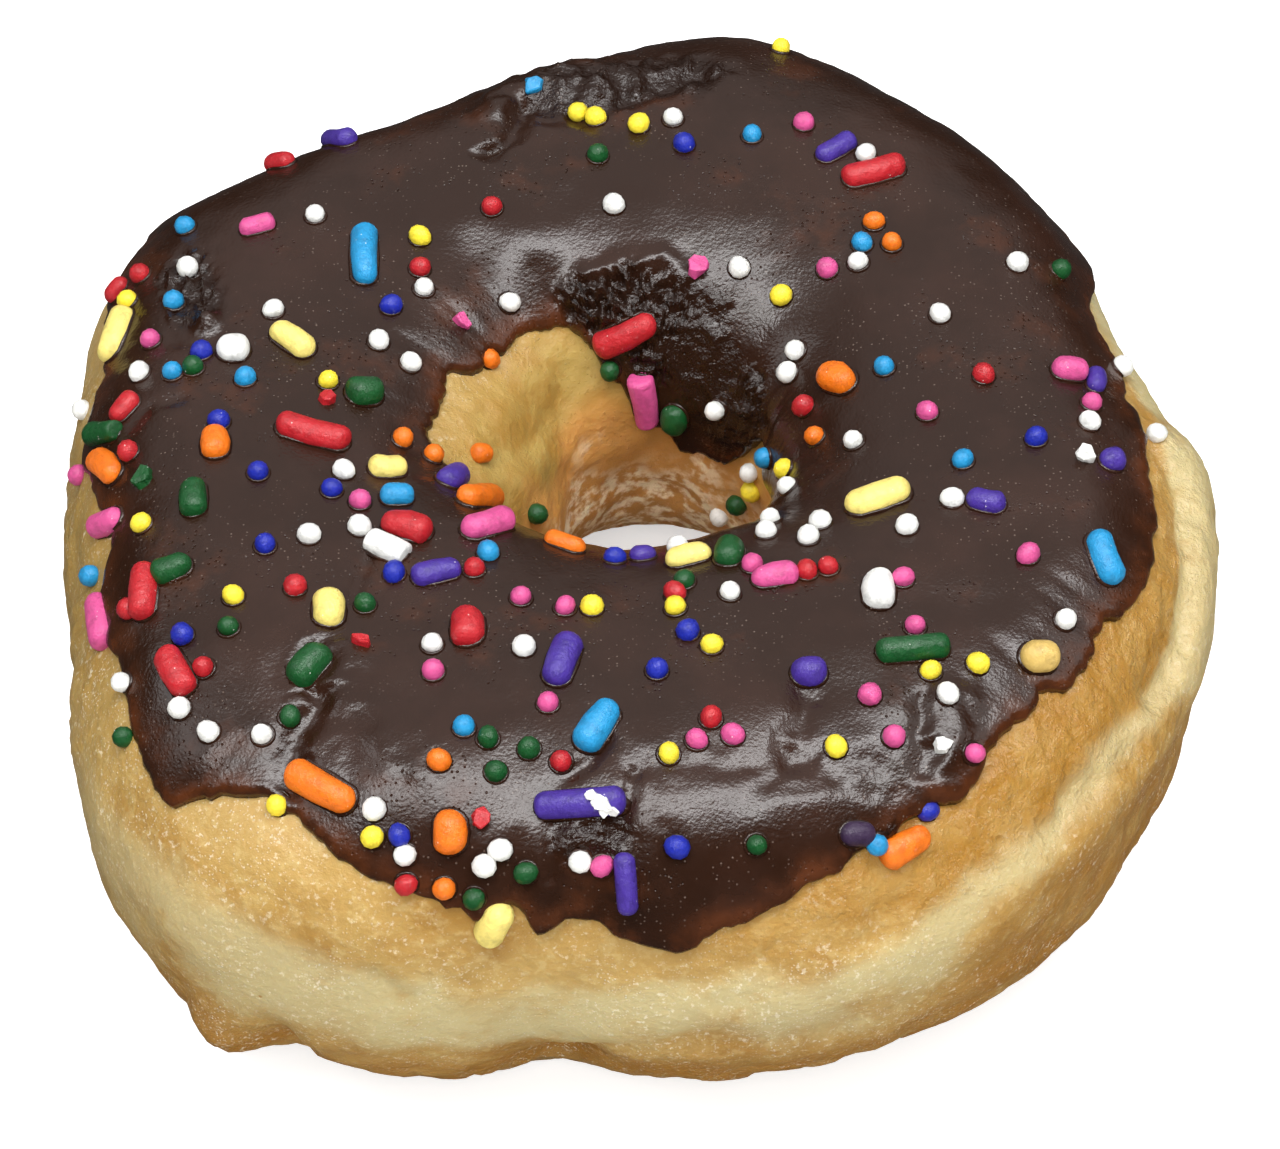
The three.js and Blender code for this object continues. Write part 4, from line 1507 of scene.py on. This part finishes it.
def add_floor():
    """A pale floor that throws little light back at the food and shows faintly in its gloss."""
    deselect_all()
    bpy.ops.mesh.primitive_plane_add(size=FLOOR_SIZE)
    floor = bpy.context.active_object
    floor.name = "studio_floor"
    made, nodes, links, shader = new_material("studio_floor")
    shader.inputs["Base Color"].default_value = FLOOR_WHITE
    shader.inputs["Roughness"].default_value = FLOOR_ROUGHNESS
    shader.inputs["Emission Color"].default_value = (1, 1, 1, 1)
    shader.inputs["Emission Strength"].default_value = FLOOR_GLOW
    dim = nodes.new("ShaderNodeBsdfDiffuse")
    dim.inputs["Color"].default_value = DIM_FLOOR
    dark = nodes.new("ShaderNodeBsdfDiffuse")
    dark.inputs["Color"].default_value = DARK_FLOOR
    path = nodes.new("ShaderNodeLightPath")
    unseen = nodes.new("ShaderNodeMixShader")
    links.new(path.outputs["Is Glossy Ray"], unseen.inputs["Fac"])
    links.new(dim.outputs["BSDF"], unseen.inputs[1])
    links.new(dark.outputs["BSDF"], unseen.inputs[2])
    whole = nodes.new("ShaderNodeMixShader")
    links.new(path.outputs["Is Camera Ray"], whole.inputs["Fac"])
    links.new(unseen.outputs["Shader"], whole.inputs[1])
    links.new(shader.outputs["BSDF"], whole.inputs[2])
    links.new(whole.outputs["Shader"], nodes["Material Output"].inputs["Surface"])
    floor.data.materials.append(made)


def add_light(name, place, size, watts, in_gloss):
    lamp = bpy.data.lights.new(name, "AREA")
    lamp.shape = "RECTANGLE"
    lamp.size, lamp.size_y = size
    lamp.energy = watts
    holder = bpy.data.objects.new(name, lamp)
    bpy.context.scene.collection.objects.link(holder)
    holder.location = place
    ahead = Vector(LIGHT_AIM) - Vector(place)
    holder.rotation_euler = ahead.to_track_quat("-Z", "Y").to_euler()
    holder.visible_glossy = in_gloss


def add_world():
    """An even white room, of which only the upper part behind the food shows in its gloss."""
    world = bpy.data.worlds.new("studio")
    world.use_nodes = True
    nodes, links = world.node_tree.nodes, world.node_tree.links
    backdrop = nodes["Background"]
    backdrop.inputs["Color"].default_value = (1, 1, 1, 1)
    path = nodes.new("ShaderNodeLightPath")
    toward = nodes.new("ShaderNodeVectorMath")
    toward.operation = "DOT_PRODUCT"
    toward.inputs[1].default_value = BRIGHT_SIDE
    links.new(nodes.new("ShaderNodeTexCoord").outputs["Generated"], toward.inputs[0])
    in_gloss = nodes.new("ShaderNodeMapRange")
    in_gloss.interpolation_type = "SMOOTHSTEP"
    in_gloss.inputs["From Min"].default_value = BRIGHT_EDGE
    in_gloss.inputs["From Max"].default_value = 1
    in_gloss.inputs["To Min"].default_value = WORLD_IN_GLOSS_AWAY
    in_gloss.inputs["To Max"].default_value = WORLD_IN_GLOSS
    links.new(toward.outputs["Value"], in_gloss.inputs["Value"])
    unseen = nodes.new("ShaderNodeMix")
    unseen.inputs["A"].default_value = WORLD_FILL
    links.new(path.outputs["Is Glossy Ray"], unseen.inputs["Factor"])
    links.new(in_gloss.outputs["Result"], unseen.inputs["B"])
    strength = nodes.new("ShaderNodeMix")
    strength.inputs["B"].default_value = WORLD_SEEN
    links.new(path.outputs["Is Camera Ray"], strength.inputs["Factor"])
    links.new(unseen.outputs["Result"], strength.inputs["A"])
    links.new(strength.outputs["Result"], backdrop.inputs["Strength"])
    bpy.context.scene.world = world


add_floor()
for light in LIGHTS:
    add_light(*light)
add_world()
bpy.context.scene.view_settings.view_transform = "Standard"
